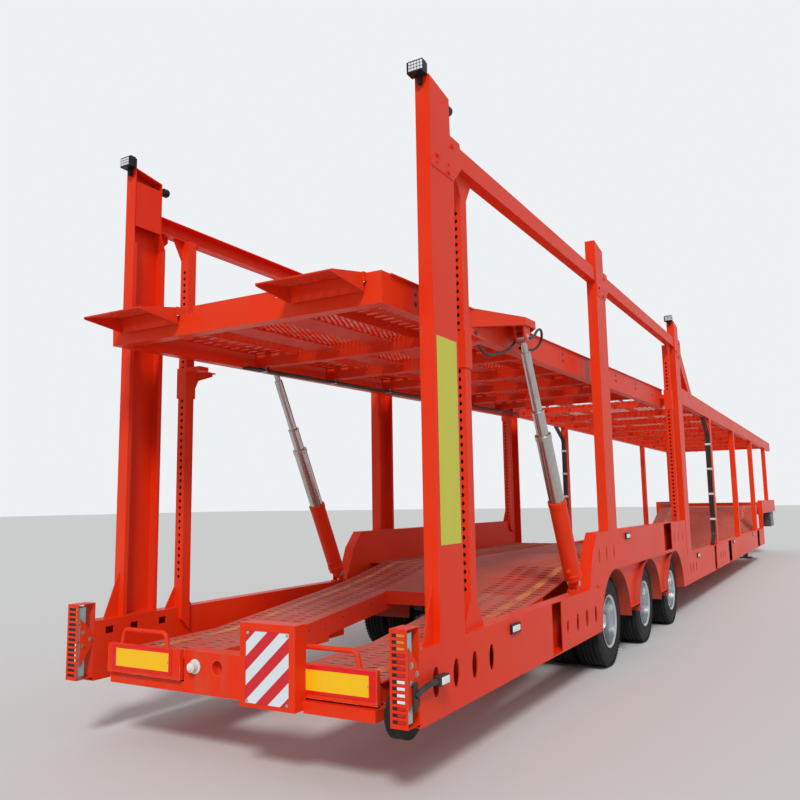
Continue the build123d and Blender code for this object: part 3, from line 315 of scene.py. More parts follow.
# %% Shader groups
def weathering_group():
    sizes = {"Patch size": 1.2, "Streak size": 9.0, "Grain size": 180.0}
    tree, start, end = new_tree("weathering", "ShaderNodeTree", sizes, ("Fade", "Streak", "Grain", "Speck"))
    place = own_place(tree)
    upright = node(tree, "ShaderNodeMapping", place, Scale=(1.0, 1.0, 0.18)).outputs[0]
    masks = (("Fade", place, "Patch size", 1.0, 3.0, 0.35, 0.68),
             ("Streak", upright, "Streak size", 1.0, 5.0, 0.48, 0.75),
             ("Grain", place, "Grain size", 1.0, 2.0, 0.3, 0.7),
             ("Speck", place, "Grain size", 0.22, 6.0, 0.60, 0.66))
    for label, vector, size, share, detail, low, high in masks:
        scale = maths(tree, "MULTIPLY", start.outputs[size], share)
        feed(tree, end.inputs[label], spread(tree, noise(tree, vector, scale, detail, 0.6), low, high))
    return tree


WORN_EDGE = 0.006


def edge_group():
    tree, start, end = new_tree("edge wear", "ShaderNodeTree", {"Amount": 1.0}, ("Wear",))
    soft = node(tree, "ShaderNodeBevel", Radius=WORN_EDGE, samples=4).outputs["Normal"]
    true = node(tree, "ShaderNodeNewGeometry").outputs["Normal"]
    dot = node(tree, "ShaderNodeVectorMath", soft, true, operation="DOT_PRODUCT")
    bend = maths(tree, "SUBTRACT", 1.0, dot.outputs["Value"])
    patch = noise(tree, own_place(tree), 14.0, 5.0, 0.55)
    bend = maths(tree, "MULTIPLY", bend, spread(tree, patch, 0.42, 0.62))
    bend = maths(tree, "MULTIPLY", bend, start.outputs["Amount"])
    tree.links.new(spread(tree, bend, 0.02, 0.22), end.inputs["Wear"])
    return tree


WEATHERING = weathering_group()
EDGE_WEAR = edge_group()
print("shader groups:", WEATHERING.name, EDGE_WEAR.name)

# %% [markdown]
# Each finish is one Principled shader. Its colour is the clean colour, mixed with a faded
# one where the sun has bleached it, with dust in the streaks and the bare or primed metal
# on worn edges. Roughness follows the same masks, so dusty places are duller, and a faint
# bump gives sprayed paint its orange peel and rubber or castings their grain. One function
# makes them all, so that the whole trailer ages in the same way.


# %% A weathered finish
def finish(name, clean, faded, dirt=(0.20, 0.15, 0.11), worn=None, rough=(0.35, 0.6), metal=0.0, coat=0.0,
           dust=0.25, wear=0.0, bump=0.0004, patch=1.2, streak=9.0, height=None, gloss=0.5):
    made = bpy.data.materials.new(name)
    made.use_nodes = True
    tree = made.node_tree
    shader = tree.nodes["Principled BSDF"]
    for key, value in (("Metallic", metal), ("Coat Weight", coat), ("Coat Roughness", 0.12),
                       ("Specular IOR Level", gloss)):
        shader.inputs[key].default_value = value
    fade, streaks, grain, specks = node(tree, "ShaderNodeGroup", patch, streak, node_tree=WEATHERING).outputs
    colour = blend_colours(tree, fade, clean, faded)
    soil = maths(tree, "MULTIPLY", streaks, dust, clamp=True)
    colour = blend_colours(tree, soil, colour, dirt)
    speck = maths(tree, "MULTIPLY", specks, dust * 0.5, clamp=True)
    colour = blend_colours(tree, speck, colour, dirt)
    dull = maths(tree, "ADD", soil, maths(tree, "MULTIPLY", fade, 0.4), clamp=True)
    if worn:
        thin = node(tree, "ShaderNodeGroup", wear, node_tree=EDGE_WEAR).outputs["Wear"]
        colour = blend_colours(tree, thin, colour, worn)
        dull = maths(tree, "MAXIMUM", dull, thin)
    tree.links.new(colour, shader.inputs["Base Color"])
    tree.links.new(spread(tree, dull, 0.0, 1.0, *rough), shader.inputs["Roughness"])
    relief = grain
    if height:
        relief = maths(tree, "ADD", maths(tree, "MULTIPLY", grain, 0.3), height(tree))
    lift = node(tree, "ShaderNodeBump", Height=relief, Distance=bump)
    tree.links.new(lift.outputs["Normal"], shader.inputs["Normal"])
    return made


print("finish helper ready")

# %% [markdown]
# The lower floors carry a worn yellow guide line on each side. It could be a thin strip of
# mesh, but it is paint without thickness, so it is mixed into the finish: the change takes
# the colour that is there and lays the line over it where a side measure says so.


# %% A guide line on the floors
def recolour(made, change):
    """Passes a finish's colour through a change, which takes the tree and the colour."""
    shader = made.node_tree.nodes["Principled BSDF"]
    below = shader.inputs["Base Color"].links[0].from_socket
    made.node_tree.links.new(change(made.node_tree, below), shader.inputs["Base Color"])
    return made


def guided(made, line_colour):
    """Adds the worn guide line to a floor's finish, and plain red on its upright faces."""
    def change(tree, below):
        place = own_place(tree)
        side = maths(tree, "ABSOLUTE", parts_of(tree, place)[0])
        off = maths(tree, "ABSOLUTE", maths(tree, "SUBTRACT", side, GUIDE_X))
        line = maths(tree, "LESS_THAN", off, GUIDE_WIDTH / 2)
        left = maths(tree, "MULTIPLY", line, spread(tree, noise(tree, place, 6.0, 8.0, 0.7), 0.44, 0.60))
        on_top = blend_colours(tree, left, below, line_colour)
        normal = node(tree, "ShaderNodeNewGeometry").outputs["Normal"]
        faces_up = maths(tree, "GREATER_THAN", parts_of(tree, normal)[2], 0.5)
        return blend_colours(tree, faces_up, RED, on_top)
    return recolour(made, change)


GUIDE_X = 0.855
GUIDE_WIDTH = 0.062
print("guide line", GUIDE_X, "m from the middle")

# %% [markdown]
# The finishes differ by what each part goes through. Floors are trodden and dusty, the rods
# are ground bright, the tyres are dull, and the paint on posts is nearly clean. Colours are
# written as linear values, because that is how a shader reads them.

# %% The trailer's finishes
RED = (0.80, 0.028, 0.002)
PINK = (0.80, 0.045, 0.008)
PRIMER = (0.42, 0.10, 0.06)
paint = finish("orange-red paint", RED, PINK, worn=PRIMER, rough=(0.34, 0.55), coat=0.03, dust=0.08,
               wear=0.6, gloss=0.15)
deck_paint = finish("deck paint", RED, PINK, dirt=(0.34, 0.14, 0.08), worn=(0.45, 0.33, 0.27),
                    rough=(0.45, 0.8), dust=0.3, wear=0.9, patch=2.2, gloss=0.15)
floor_paint = guided(
    finish("floor paint", (0.50, 0.055, 0.030), (0.44, 0.100, 0.070), dirt=(0.32, 0.20, 0.15), worn=PRIMER,
           rough=(0.5, 0.85), dust=0.6, wear=1.0, bump=0.0008, patch=2.0, gloss=0.3), (0.60, 0.27, 0.07))
track_paint = guided(
    finish("track paint", (0.60, 0.060, 0.030), (0.52, 0.110, 0.075), dirt=(0.34, 0.21, 0.15),
           worn=(0.50, 0.40, 0.34), rough=(0.5, 0.85), dust=0.55, wear=1.3, bump=0.001, patch=2.2),
    (0.66, 0.27, 0.05))
under_paint = finish("underside paint", (0.50, 0.035, 0.012), (0.40, 0.04, 0.02), rough=(0.5, 0.8), dust=0.5,
                     patch=2.5)
dark_steel = finish("dark steel", (0.045, 0.046, 0.05), (0.07, 0.065, 0.06), worn=(0.35, 0.33, 0.31),
                    rough=(0.45, 0.75), metal=0.3, dust=0.4, wear=0.8, bump=0.0006)
black_paint = finish("black paint", (0.03, 0.031, 0.034), (0.05, 0.05, 0.052), worn=(0.18, 0.17, 0.16),
                     rough=(0.35, 0.6), coat=0.2, dust=0.3, wear=0.6)
chrome = finish("ground steel rod", (0.60, 0.60, 0.60), (0.48, 0.46, 0.43), dirt=(0.28, 0.24, 0.20),
                rough=(0.16, 0.38), metal=1.0, dust=0.3, bump=0.0001, streak=30.0)
rim_silver = finish("polished rim", (0.72, 0.75, 0.77), (0.60, 0.63, 0.66), dirt=(0.28, 0.26, 0.24),
                    rough=(0.16, 0.34), metal=1.0, dust=0.06, patch=3.0)
rubber = finish("tyre rubber", (0.012, 0.012, 0.013), (0.020, 0.020, 0.020), dirt=(0.075, 0.066, 0.058),
                rough=(0.55, 0.85), dust=0.35, bump=0.0008, patch=6.0, streak=20.0, gloss=0.15)
hose_rubber = finish("hose rubber", (0.014, 0.014, 0.015), (0.03, 0.03, 0.03), rough=(0.4, 0.65), dust=0.3)
zinc = finish("zinc plate", (0.55, 0.54, 0.50), (0.62, 0.58, 0.48), rough=(0.28, 0.5), metal=1.0, dust=0.3,
              bump=0.0002)
plastic_white = finish("white plastic", (0.75, 0.75, 0.72), (0.66, 0.65, 0.60), rough=(0.35, 0.6), dust=0.2)
lamp_case = finish("lamp case", (0.22, 0.46, 0.46), (0.30, 0.50, 0.49), rough=(0.3, 0.55), dust=0.25)
# Real dark plastic on lamps and fins; the same finish is painted shade in slots and column holes.
dark_plastic_and_painted_shade = finish("dark plastic and painted shade", (0.012, 0.012, 0.013), (0.024, 0.024, 0.025), rough=(0.35, 0.6),
                      dust=0.15, gloss=0.2)
print("finishes:", len(bpy.data.materials))

# %% [markdown]
# Lenses, reflective boards and the striped marker need their own colours. A lens is clear
# coloured plastic over a ribbed face. The stripes of the marker are a sawtooth of side and
# height, cut into white and red halves, so they slope across the board. Strips of plate
# could show them too, but the real stripes are printed and have no edge to catch the light.


# %% Lenses, boards and stripes
RIBS_PER_METRE = 160.0
CELLS_PER_METRE = 220.0
STRIPE_SLOPE = 0.92
STRIPE_START = 4.780
STRIPE_PITCH = 0.154


def ribs(tree):
    """Upright ribs, as moulded in a lens."""
    across = maths(tree, "MULTIPLY", parts_of(tree, own_place(tree))[0], RIBS_PER_METRE)
    return maths(tree, "PINGPONG", across, 1.0)


def honeycomb(tree):
    """Small cells, as in reflective sheeting."""
    cells = node(tree, "ShaderNodeTexVoronoi", own_place(tree), Scale=CELLS_PER_METRE, Randomness=0.0)
    return cells.outputs["Distance"]


def lens(name, colour):
    bright = tuple(min(1.0, c * 1.2 + 0.02) for c in colour)
    return finish(name, colour, bright, rough=(0.14, 0.25), coat=0.2, gloss=0.3, dust=0.08, bump=0.0008,
                  height=ribs)


def sheeting(name, clean, faded, gloss=0.3):
    return finish(name, clean, faded, rough=(0.3, 0.4), coat=0.1, gloss=gloss, dust=0.05, bump=0.0002,
                  height=honeycomb)


def striped(tree, white):
    """Red halves of a wave that climbs with side and height."""
    parts = parts_of(tree, own_place(tree))
    slope = maths(tree, "SUBTRACT", parts[2], maths(tree, "MULTIPLY", parts[0], STRIPE_SLOPE))
    climb = maths(tree, "ADD", slope, STRIPE_START)
    wave = maths(tree, "FRACT", maths(tree, "MULTIPLY", climb, 1 / STRIPE_PITCH))
    return blend_colours(tree, maths(tree, "GREATER_THAN", wave, 0.5), white, (0.62, 0.006, 0.016))


amber = lens("amber lens", (0.75, 0.21, 0.008))
red_lens = lens("red lens", (0.52, 0.004, 0.010))
clear_lens = lens("clear lens", (0.72, 0.74, 0.74))
board_red = sheeting("reflective red", (0.78, 0.004, 0.006), (0.72, 0.010, 0.010))
board_yellow = sheeting("reflective yellow", (0.95, 0.53, 0.0), (0.93, 0.56, 0.01))
strip_yellow = finish("yellow-green strip", (0.62, 0.60, 0.05), (0.58, 0.57, 0.08), rough=(0.4, 0.5),
                      dust=0.08, gloss=0.3)
stripes = recolour(sheeting("marker stripes", (0.72, 0.78, 0.82), (0.68, 0.74, 0.78), 0.5), striped)
print("lenses and boards:", amber.name, board_red.name, stripes.name)

# %% [markdown]
# Every CAD node that shows takes the finish of the real piece. The floors are trodden and
# dusty, the beams and posts keep more gloss, and the running gear is dark. The table goes
# by how a node's name starts, because like pieces are named alike, and what it doesn't
# list is painted.

# %% Finishes on the CAD nodes
CAD_FINISH = ((under_paint, ("deck_floor", "front_deck_floor", "spine_beams", "arch_liners")),
              (track_paint, ("lower_tracks",)), (floor_paint, ("axle_deck", "well_floor", "neck_floor")),
              (deck_paint, ("tail_beam", "ramp_right", "ramp_left")), (rubber, ("tail_roller", "tyres")),
              (dark_steel, ("kingpin", "axles", "suspension", "landing_legs")), (dark_plastic_and_painted_shade, ("lamps",)),
              (black_paint, ("air_tank", "tool_boxes")), (hose_rubber, ("hoses", "deck_hoses")),
              (chrome, ("cylinder_stage", "cylinder_rod")), (rim_silver, ("wheel",)))
for name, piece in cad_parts.items():
    chosen = ([used for used, starts in CAD_FINISH if name.startswith(starts)] + [paint])[0]
    piece.data.materials.clear()
    piece.data.materials.append(chosen)
print("dressed", len(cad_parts), "CAD nodes")

# %% [markdown]
# Geometry Nodes make what repeats. The small helpers below close a tree that puts a piece
# on points, and run it on a mesh. The result is turned into a plain mesh at once.


# %% Helpers for Geometry Nodes
def close_tree(tree, start, end, points, piece, turn=None):
    """Puts a piece on every point, as plain geometry with its material, and ends the tree."""
    look = {"Rotation": turn} if turn else {}
    copies = node(tree, "GeometryNodeInstanceOnPoints", Points=points, Instance=piece, **look)
    real = node(tree, "GeometryNodeRealizeInstances", copies.outputs["Instances"]).outputs["Geometry"]
    done = node(tree, "GeometryNodeSetMaterial", Geometry=real, Material=start.outputs["Material"])
    tree.links.new(done.outputs["Geometry"], end.inputs["Geometry"])
    return tree


def facing(tree, vector):
    """The turn that makes Z look along a vector."""
    return node(tree, "FunctionNodeAlignRotationToVector", Vector=vector, axis="Z").outputs["Rotation"]


def grow(tree, seed, values):
    """Runs a tree on a mesh and gives back the plain mesh it makes."""
    helper = add_object("helper", seed)
    rule = helper.modifiers.new("rule", "NODES")
    rule.node_group = tree
    for item in tree.interface.items_tree:
        if item.in_out == "INPUT" and item.name in values:
            rule[item.identifier] = values[item.name]
    graph = bpy.context.evaluated_depsgraph_get()
    made = bpy.data.meshes.new_from_object(helper.evaluated_get(graph), depsgraph=graph)
    bpy.data.objects.remove(helper)
    return made


print("helpers for repeats ready")

# %% [markdown]
# A bolt is a hexagonal head on a washer. The tree puts one on every point of a mesh and
# turns it to look along the point's stored direction, so a list of places and directions is
# all that a row of bolts needs. An Array modifier would do for a straight row, but most of
# these lie in small groups.


# %% Bolts on points
def bolt_tree():
    tree, start, end = new_tree("bolts", "GeometryNodeTree", {"Head radius": 0.012, "Head height": 0.008,
                                                              "Material": zinc})
    radius, height = start.outputs["Head radius"], start.outputs["Head height"]
    head = node(tree, "GeometryNodeMeshCylinder", Vertices=6, Radius=radius, Depth=height).outputs["Mesh"]
    raised = node(tree, "ShaderNodeCombineXYZ", Z=maths(tree, "MULTIPLY", height, 0.6)).outputs[0]
    lift = node(tree, "GeometryNodeTransform", Geometry=head, Translation=raised)
    wide, thin = maths(tree, "MULTIPLY", radius, 1.5), maths(tree, "MULTIPLY", height, 0.4)
    washer = node(tree, "GeometryNodeMeshCylinder", Vertices=12, Radius=wide, Depth=thin)
    both = node(tree, "GeometryNodeJoinGeometry", washer.outputs["Mesh"])
    tree.links.new(lift.outputs["Geometry"], both.inputs[0])
    look = node(tree, "GeometryNodeInputNamedAttribute", data_type="FLOAT_VECTOR", Name="facing")
    turn = facing(tree, look.outputs["Attribute"])
    return close_tree(tree, start, end, start.outputs["Geometry"], both.outputs[0], turn)


BOLTS = bolt_tree()


def bolts(name, body, places, radius, height, colour=zinc):
    """One mesh of bolts for a body, from (place, direction) pairs in the row frame."""
    seed = plain_mesh(name, [p for p, _ in places])
    store = seed.attributes.new("facing", "FLOAT_VECTOR", "POINT")
    store.data.foreach_set("vector", [c for _, d in places for c in d])
    made = grow(BOLTS, seed, {"Head radius": radius, "Head height": height, "Material": colour})
    show(name, made, body, colour)


def both_sides(rows, place=ON_TRAILER):
    """The same bolts on both sides, looking outwards, from (x, station, height) rows."""
    pairs = []
    for side in SIDES.values():
        move = place @ side
        pairs += [(move @ Vector(row), move.to_3x3() @ Vector(OUT)) for row in rows]
    return pairs


print("bolts ready:", BOLTS.name)

# %% [markdown]
# The posts, lamp housings and deck beams are bolted together. Each group of bolts is a short
# list of places read from the real joints, because no rule would give their uneven steps.
# Only the row along the deck is even, so a loop makes it.

# %% Bolts on posts, housings and deck
OUT = (1, 0, 0)
BACK = (0, -1, 0)
# Each wide post's rear edge, with the height of its head.
POST_Y = {0.360: 3.935, 3.705: 3.915, 7.470: 3.880}
POST_FACE = HALF + 0.0035
large = [(POST_FACE, y + dy, z) for y in POST_Y
         for dy, z in ((0.084, 3.471), (0.287, 3.604), (0.229, 3.418))]
small = [(POST_FACE, y + dy, z) for y in POST_Y for dy, z in ((0.081, 3.426), (0.232, 3.470))]
arch_bolt = (HALF, 3.30, 0.753)
bolts("post bolts", "root", both_sides(large + [arch_bolt]), 0.013, 0.010, paint)
bolts("post screws", "root", both_sides(small), 0.007, 0.005, paint)
# At the tail a five-cornered plate lies across each lamp housing's right side.
BRACKET = [(0.024, 0.778), (0.024, 0.478), (0.104, 0.588), (0.118, 0.600), (0.118, 0.676)]
BRACKET_X = (1.2410, -1.1590)
BRACKET_PLATE = 0.006
brackets = Pile()
for x in BRACKET_X:
    brackets.prism(BRACKET, (x, x + BRACKET_PLATE))
show("housing brackets", brackets, "root", paint, bevel=0.001)
flange = [(ON_TRAILER @ Vector((x + BRACKET_PLATE, y, z)), OUT) for x in BRACKET_X
          for y, z in ((0.046, 0.690), (0.046, 0.604), (0.100, 0.640))]
bolts("flange bolts", "root", flange, 0.011, 0.006)
# The row along the deck's side beam leaves room for the lifting cylinder's eye.
beam_y = [y for y in (-6.8 + 0.9 * i for i in range(8)) if abs(y + 5.6) > 0.5]
beam_bolts = [(1.060, y, z) for y in beam_y for z in (0.0, 0.06)]
bolts("deck beam bolts", "upper_deck", both_sides(beam_bolts, ON_DECK), 0.011, 0.005, dark_steel)
print("bolts on posts, housings and deck")

# %% [markdown]
# The head of every tall post is a wider plate laid over the post, so its lower edge shows as
# a seam. Inside the channel a small cover closes the cables to the work lamp. The pin-hole
# columns have dark sheets inside, painted shade that makes their holes look black and keeps
# the sky from showing through. All of them are outlines with a thickness, as they would be
# cut from sheet.

# %% Head plates and covers
heads = Pile()
covers = Pile()
for y, head in POST_Y.items():
    plate = [(y + 0.003, 3.388), (y + 0.297, 3.388), (y + 0.397, 3.492), (y + 0.397, 3.640),
             (y + 0.258, 3.660), (y + 0.252, head - 0.045), (y + 0.003, head - 0.006)]
    for sign in (1, -1):
        heads.prism(plate, (sign * 1.2500, sign * 1.2535))
    covers.pair((1.1620, 1.1680), (y + 0.014, y + 0.245), (3.500, head - 0.100))
show("head plates", heads, "root", paint)
# Dark sheets inside the pin-hole columns: painted shade for their holes.
painted_hole_shade = Pile()
for y, foot in ((0.860, 0.62), (7.260, 1.07)):
    painted_hole_shade.pair((1.1275, 1.1925), (y + 0.066, y + 0.072), (foot, 3.400))
    painted_hole_shade.pair((1.1550, 1.1650), (y + 0.034, y + 0.066), (foot, 3.400))
show("column straps", painted_hole_shade, "root", dark_plastic_and_painted_shade)
show("head covers", covers, "root", paint, bevel=0.001)
print("heads done")

# %% [markdown]
# The trailer stands on twin tyres with a road pattern: four grooves run round the tread and
# short cuts cross its shoulders. The grooves belong to the profile that is turned round the
# axle, and so do the rim guard and the raised ring of the side wall. A Screw modifier could
# turn it too, but the small function below makes the plain mesh at once.

# %% Tyres
TYRE_WIDTH = 0.228
TYRE_OUT = HALF - 0.058
TWIN_PITCH = 0.268
TYRE_STEPS = 96
RIM_STEPS = 72
ROUND = 40
HALF_TREAD = TYRE_WIDTH / 2 - 0.020
SIDE_WALL = [(0.101, 0.2225), (0.108, 0.232), (0.113, 0.240), (0.1095, 0.246), (0.1105, 0.262),
             (0.1140, 0.285), (0.1140, 0.318), (0.1125, 0.326), (0.1140, 0.329), (0.1125, 0.334),
             (0.1060, 0.362), (0.0990, 0.380)]
TREAD = [(HALF_TREAD, 0.3885), (0.083, 0.3925), (0.064, 0.3938), (0.062, 0.382), (0.052, 0.382),
         (0.050, 0.3945), (0.024, 0.395), (0.022, 0.383), (0.012, 0.383), (0.010, 0.395)]
TYRE_PROFILE = SIDE_WALL + TREAD + [(-x, r) for x, r in reversed(SIDE_WALL + TREAD)]
RIM_LIP = [(-0.012, 0.2218), (-0.004, 0.232), (0.001, 0.232), (0.001, 0.222), (-0.008, 0.209),
           (-0.060, 0.203), (-0.150, 0.200), (-0.216, 0.208), (-0.222, 0.232), (-0.227, 0.232),
           (-0.227, 0.2218)]


def hoop(name, profile, steps):
    """A closed ring about X from (place along X, radius) corners that form a loop."""
    turns = [2 * math.pi * i / steps for i in range(steps)]
    corners = [(x, r * math.cos(a), r * math.sin(a)) for a in turns for x, r in profile]
    return plain_mesh(name, corners, bands(steps, len(profile), wrap=True))


print("tyre profile of", len(TYRE_PROFILE), "corners")

# %% [markdown]
# The blocks of the shoulders and of the middle ribs are rings of one block, put round by
# Geometry Nodes because their spacing is a rule. They stand a little proud of the turned
# tread, so the gaps between them read as cuts. Cutting the tread would give long thin faces.


# %% Tread blocks and twin tyres
def block_ring_tree():
    """Blocks round a wheel, every one turned to look outwards."""
    sizes = {"Count": 60, "Radius": 0.39, "Width": 0.03, "Length": 0.02, "Height": 0.01, "Material": rubber}
    tree, start, end = new_tree("ring of blocks", "GeometryNodeTree", sizes)
    given = start.outputs
    loop = node(tree, "GeometryNodeMeshCircle", Vertices=given["Count"], Radius=given["Radius"])
    size = node(tree, "ShaderNodeCombineXYZ", given["Length"], given["Width"], given["Height"])
    cube = node(tree, "GeometryNodeMeshCube", Size=size.outputs[0]).outputs["Mesh"]
    turn = facing(tree, node(tree, "GeometryNodeInputPosition").outputs[0])
    return close_tree(tree, start, end, loop.outputs["Mesh"], cube, turn)


RING = block_ring_tree()
TO_AXLE = Matrix.Rotation(QUARTER, 4, "Y")


def add_mesh(target, source, place=WHOLE):
    """Puts a moved copy of a mesh into a bmesh."""
    copy = source.copy()
    copy.transform(place)
    target.from_mesh(copy)
    bpy.data.meshes.remove(copy)


def whole_mesh(name, work):
    """Turns a bmesh into a plain mesh and lets it go."""
    made = bpy.data.meshes.new(name)
    work.to_mesh(made)
    work.free()
    return made


def ring_mesh(count, radius, width, length, height):
    empty = bpy.data.meshes.new("seed")
    return grow(RING, empty, {"Count": count, "Radius": radius, "Width": width, "Length": length,
                              "Height": height, "Material": rubber})


shoulder = ring_mesh(72, 0.3835, 0.020, 0.024, 0.017)
centre_rib = ring_mesh(48, 0.3905, 0.0235, 0.019, 0.0088)


def tyre_pair(name, outward, middle, replaced, body):
    """A twin pair, outer tyre first; outward is 1 or -1."""
    whole = bmesh.new()
    tyre = hoop("tyre", TYRE_PROFILE, TYRE_STEPS)
    for k in range(2):
        x = outward * (TYRE_OUT - TYRE_WIDTH / 2 - TWIN_PITCH * k)
        place = Matrix.Translation((x, middle.y, middle.z))
        add_mesh(whole, tyre, place)
        for side in (-1, 1):
            for blocks, off in ((shoulder, 0.0985), (centre_rib, 0.037)):
                add_mesh(whole, blocks, place @ Matrix.Translation((side * off, 0, 0)) @ TO_AXLE)
    bmesh.ops.recalc_face_normals(whole, faces=whole.faces)
    show(name, whole_mesh(name, whole), body, rubber, replaced=(replaced,))


print("tyre blocks:", len(shoulder.polygons), "and", len(centre_rib.polygons), "faces")

# %% [markdown]
# The rims are deep steel dishes. Their barrel is turned from a profile, and the disc is a
# ring of small faces with a few left out, so the ten hand holes are real openings. A Boolean
# could cut them, but leaving faces out keeps the mesh even. The disc is then thickened, and
# hub, drum, cap and nuts sit in front of and behind it.


# %% Rims
def holed_disc(inner, outer, holes, steps):
    """A dished ring about X with round-cornered openings, as corners and faces."""
    radii = [inner, inner + 0.012, inner + 0.022, (inner + outer) / 2, outer - 0.022, outer - 0.012, outer]
    dish = [-0.175, -0.175, -0.173, -0.165, -0.153, -0.149, -0.145]
    corners = [(d, y, z) for r, d in zip(radii, dish) for y, z, _ in circle(r, 0, steps)]
    per_hole = steps // holes
    faces = []
    for n, face in enumerate(bands(len(radii), steps)):
        row, spot = n // steps, n % steps % per_hole
        if not (row in (2, 3) and 3 <= spot < per_hole - 3):
            faces.append(face)
    return corners, faces


HUB = [(0.118, -0.188), (0.118, -0.176), (0.092, -0.168), (0.090, -0.110), (0.084, -0.098), (0.072, -0.094),
       (0.068, -0.062), (0.060, -0.052), (0.02, -0.050)]
DRUM = [(0.095, -0.47), (0.165, -0.468), (0.167, -0.330), (0.160, -0.320), (0.118, -0.300), (0.118, -0.186)]
NUT = [(0.020, 0.0), (0.020, 0.010), (0.016, 0.012), (0.016, 0.034), (0.011, 0.036), (0.010, 0.050),
       (0.007, 0.052)]


def rim(name, outward, middle, replaced, body):
    """Both rims of a twin wheel with its disc, hub, drum and nuts; outward is 1 or -1."""
    whole = bmesh.new()
    at_face = Matrix.Translation((outward * TYRE_OUT, middle.y, middle.z)) @ Matrix.Scale(outward, 4, OUT)
    for shift in (0.0, -TWIN_PITCH):
        add_mesh(whole, hoop("barrel", [(x + shift, r) for x, r in RIM_LIP], RIM_STEPS), at_face)
    disc = bmesh.new()
    disc.from_mesh(plain_mesh("disc", *holed_disc(0.085, 0.2005, 10, 120)))
    bmesh.ops.solidify(disc, geom=disc.faces[:], thickness=0.011)
    add_mesh(whole, whole_mesh("disc", disc), at_face)
    turned = Pile()
    axle_out = at_face @ TO_AXLE
    turned.turned(HUB, axle_out, ROUND)
    turned.turned(DRUM, axle_out, ROUND)
    for x, y, z in circle(0.106, -0.180, 10):
        turned.turned(NUT, axle_out @ Matrix.Translation((x, y, z)), 6)
    add_mesh(whole, turned.mesh("hub"))
    bmesh.ops.recalc_face_normals(whole, faces=whole.faces)
    show(name, whole_mesh(name, whole), body, rim_silver, replaced=(replaced,))


for number, y in enumerate(AXLES, 1):
    for side, outward in (("right", 1), ("left", -1)):
        middle = Vector((0, REAR + y, AXLE_HEIGHT))
        body = f"wheel_body_{number}_{side}"
        tyre_pair(f"tyre pair {number} {side}", outward, middle, f"tyres_{number}_{side}", body)
        rim(f"rims {number} {side}", outward, middle, f"wheel_{number}_{side}", body)
print("wheels done")

# %% [markdown]
# Light comes through the upper decks because their wheel tracks are expanded metal: a sheet
# that was slit and pulled into diamonds. The tree lays one flat diamond ring on a staggered
# grid of points. A see-through material would look flat from close by, so the strands are
# real. A frame of bars and cross members carries the mesh, as on the real deck, so this
# piece stands in for the plain CAD floor.


# %% Expanded metal
def diamond(length, width, strand, thick):
    """One flat diamond ring as a mesh."""
    corners = []
    for z in (-thick / 2, thick / 2):
        for shrink in (0.0, strand):
            a, b = length / 2 - shrink * 1.4, width / 2 - shrink
            corners += [(0, a, z), (b, 0, z), (0, -a, z), (-b, 0, z)]
    faces = []
    for i in range(4):
        j = (i + 1) % 4
        faces += [[12 + i, 12 + j, 8 + j, 8 + i], [i, j, 4 + j, 4 + i], [4 + j, 12 + j, 12 + i, 4 + i]]
    return plain_mesh("diamond", corners, faces)


def tile_tree():
    tree, start, end = new_tree("tiles", "GeometryNodeTree", {"Material": deck_paint})
    tree.interface.new_socket("Tile", in_out="INPUT", socket_type="NodeSocketObject")
    tile = node(tree, "GeometryNodeObjectInfo", Object=start.outputs["Tile"]).outputs["Geometry"]
    return close_tree(tree, start, end, start.outputs["Geometry"], tile)


TILES = tile_tree()


def tiled(tile, points, colour):
    """The same small mesh at every point, as one plain mesh."""
    cell = add_object("tile", tile)
    made = grow(TILES, plain_mesh("points", points), {"Material": colour, "Tile": cell})
    bpy.data.objects.remove(cell)
    return made


def expanded_sheet(x, y, z, length, width, thick, strand):
    """Diamonds over a level rectangle, every other row moved by half a step."""
    across = max(1, int((x[1] - x[0]) / width))
    along = max(1, int((y[1] - y[0]) / length))
    dx, dy = (x[1] - x[0]) / across, (y[1] - y[0]) / along
    points = [(x[0] + dx * (i + 0.5 + 0.5 * (j % 2)), y[0] + dy * (j + 1) / 2, z)
              for j in range(2 * along - 1) for i in range(across - j % 2)]
    return tiled(diamond(length, width, strand, thick), points, deck_paint)


C_THICK = 0.006


def c_bar(pile, centre, top, drop, inside, place):
    """A cross member of pressed C section."""
    back, lips, low = centre - 0.04, centre + 0.04, top - drop
    pile.prism([(back, top), (lips, top), (lips, top - C_THICK), (back + C_THICK, top - C_THICK),
                (back + C_THICK, low + C_THICK), (lips, low + C_THICK), (lips, low), (back, low)],
               (-inside, inside), place)


def finish_floor(name, whole, bars, node_name, body):
    add_mesh(whole, bars.mesh("bars"))
    made = whole_mesh(name, whole)
    show(name, made, body, deck_paint, replaced=(node_name,))
    print(name, len(made.polygons), "faces")


print("sheets and cross members ready")

# %% [markdown]
# The front upper deck is expanded metal on ten cross members. Two wheel tracks with upright
# edges run along it, and a third sheet closes its middle. All of it is one mesh, because it
# takes the place of one CAD floor.

# %% The front deck's floor
whole = bmesh.new()
bars = Pile()
front_y = (7.77, 20.90)
front_top = 2.868
FRONT_PITCH = 1.3
BAR_DROP = 0.09
track_in, track_out = HALF - 0.92, HALF - 0.19
for i in range(10):
    c_bar(bars, front_y[0] + 0.09 + FRONT_PITCH * i, front_top, BAR_DROP, HALF - 0.08, ON_TRAILER)


def front_mesh(x):
    sheet = expanded_sheet(x, front_y, front_top + 0.005, 0.15, 0.075, 0.006, 0.010)
    add_mesh(whole, sheet, ON_TRAILER)


for side in (1, -1):
    low, high = sorted((side * track_in, side * track_out))
    for edge in (low, high - 0.012):
        bars.block((edge, edge + 0.012), front_y, (front_top - 0.05, front_top + 0.012))
    middle = (low + high) / 2
    bars.block(span(middle, 0.012), front_y, (front_top - 0.03, front_top))
    front_mesh((low + 0.012, high - 0.012))
front_mesh((-track_in, track_in))
finish_floor("front deck floor", whole, bars, "front_deck_floor", "root")

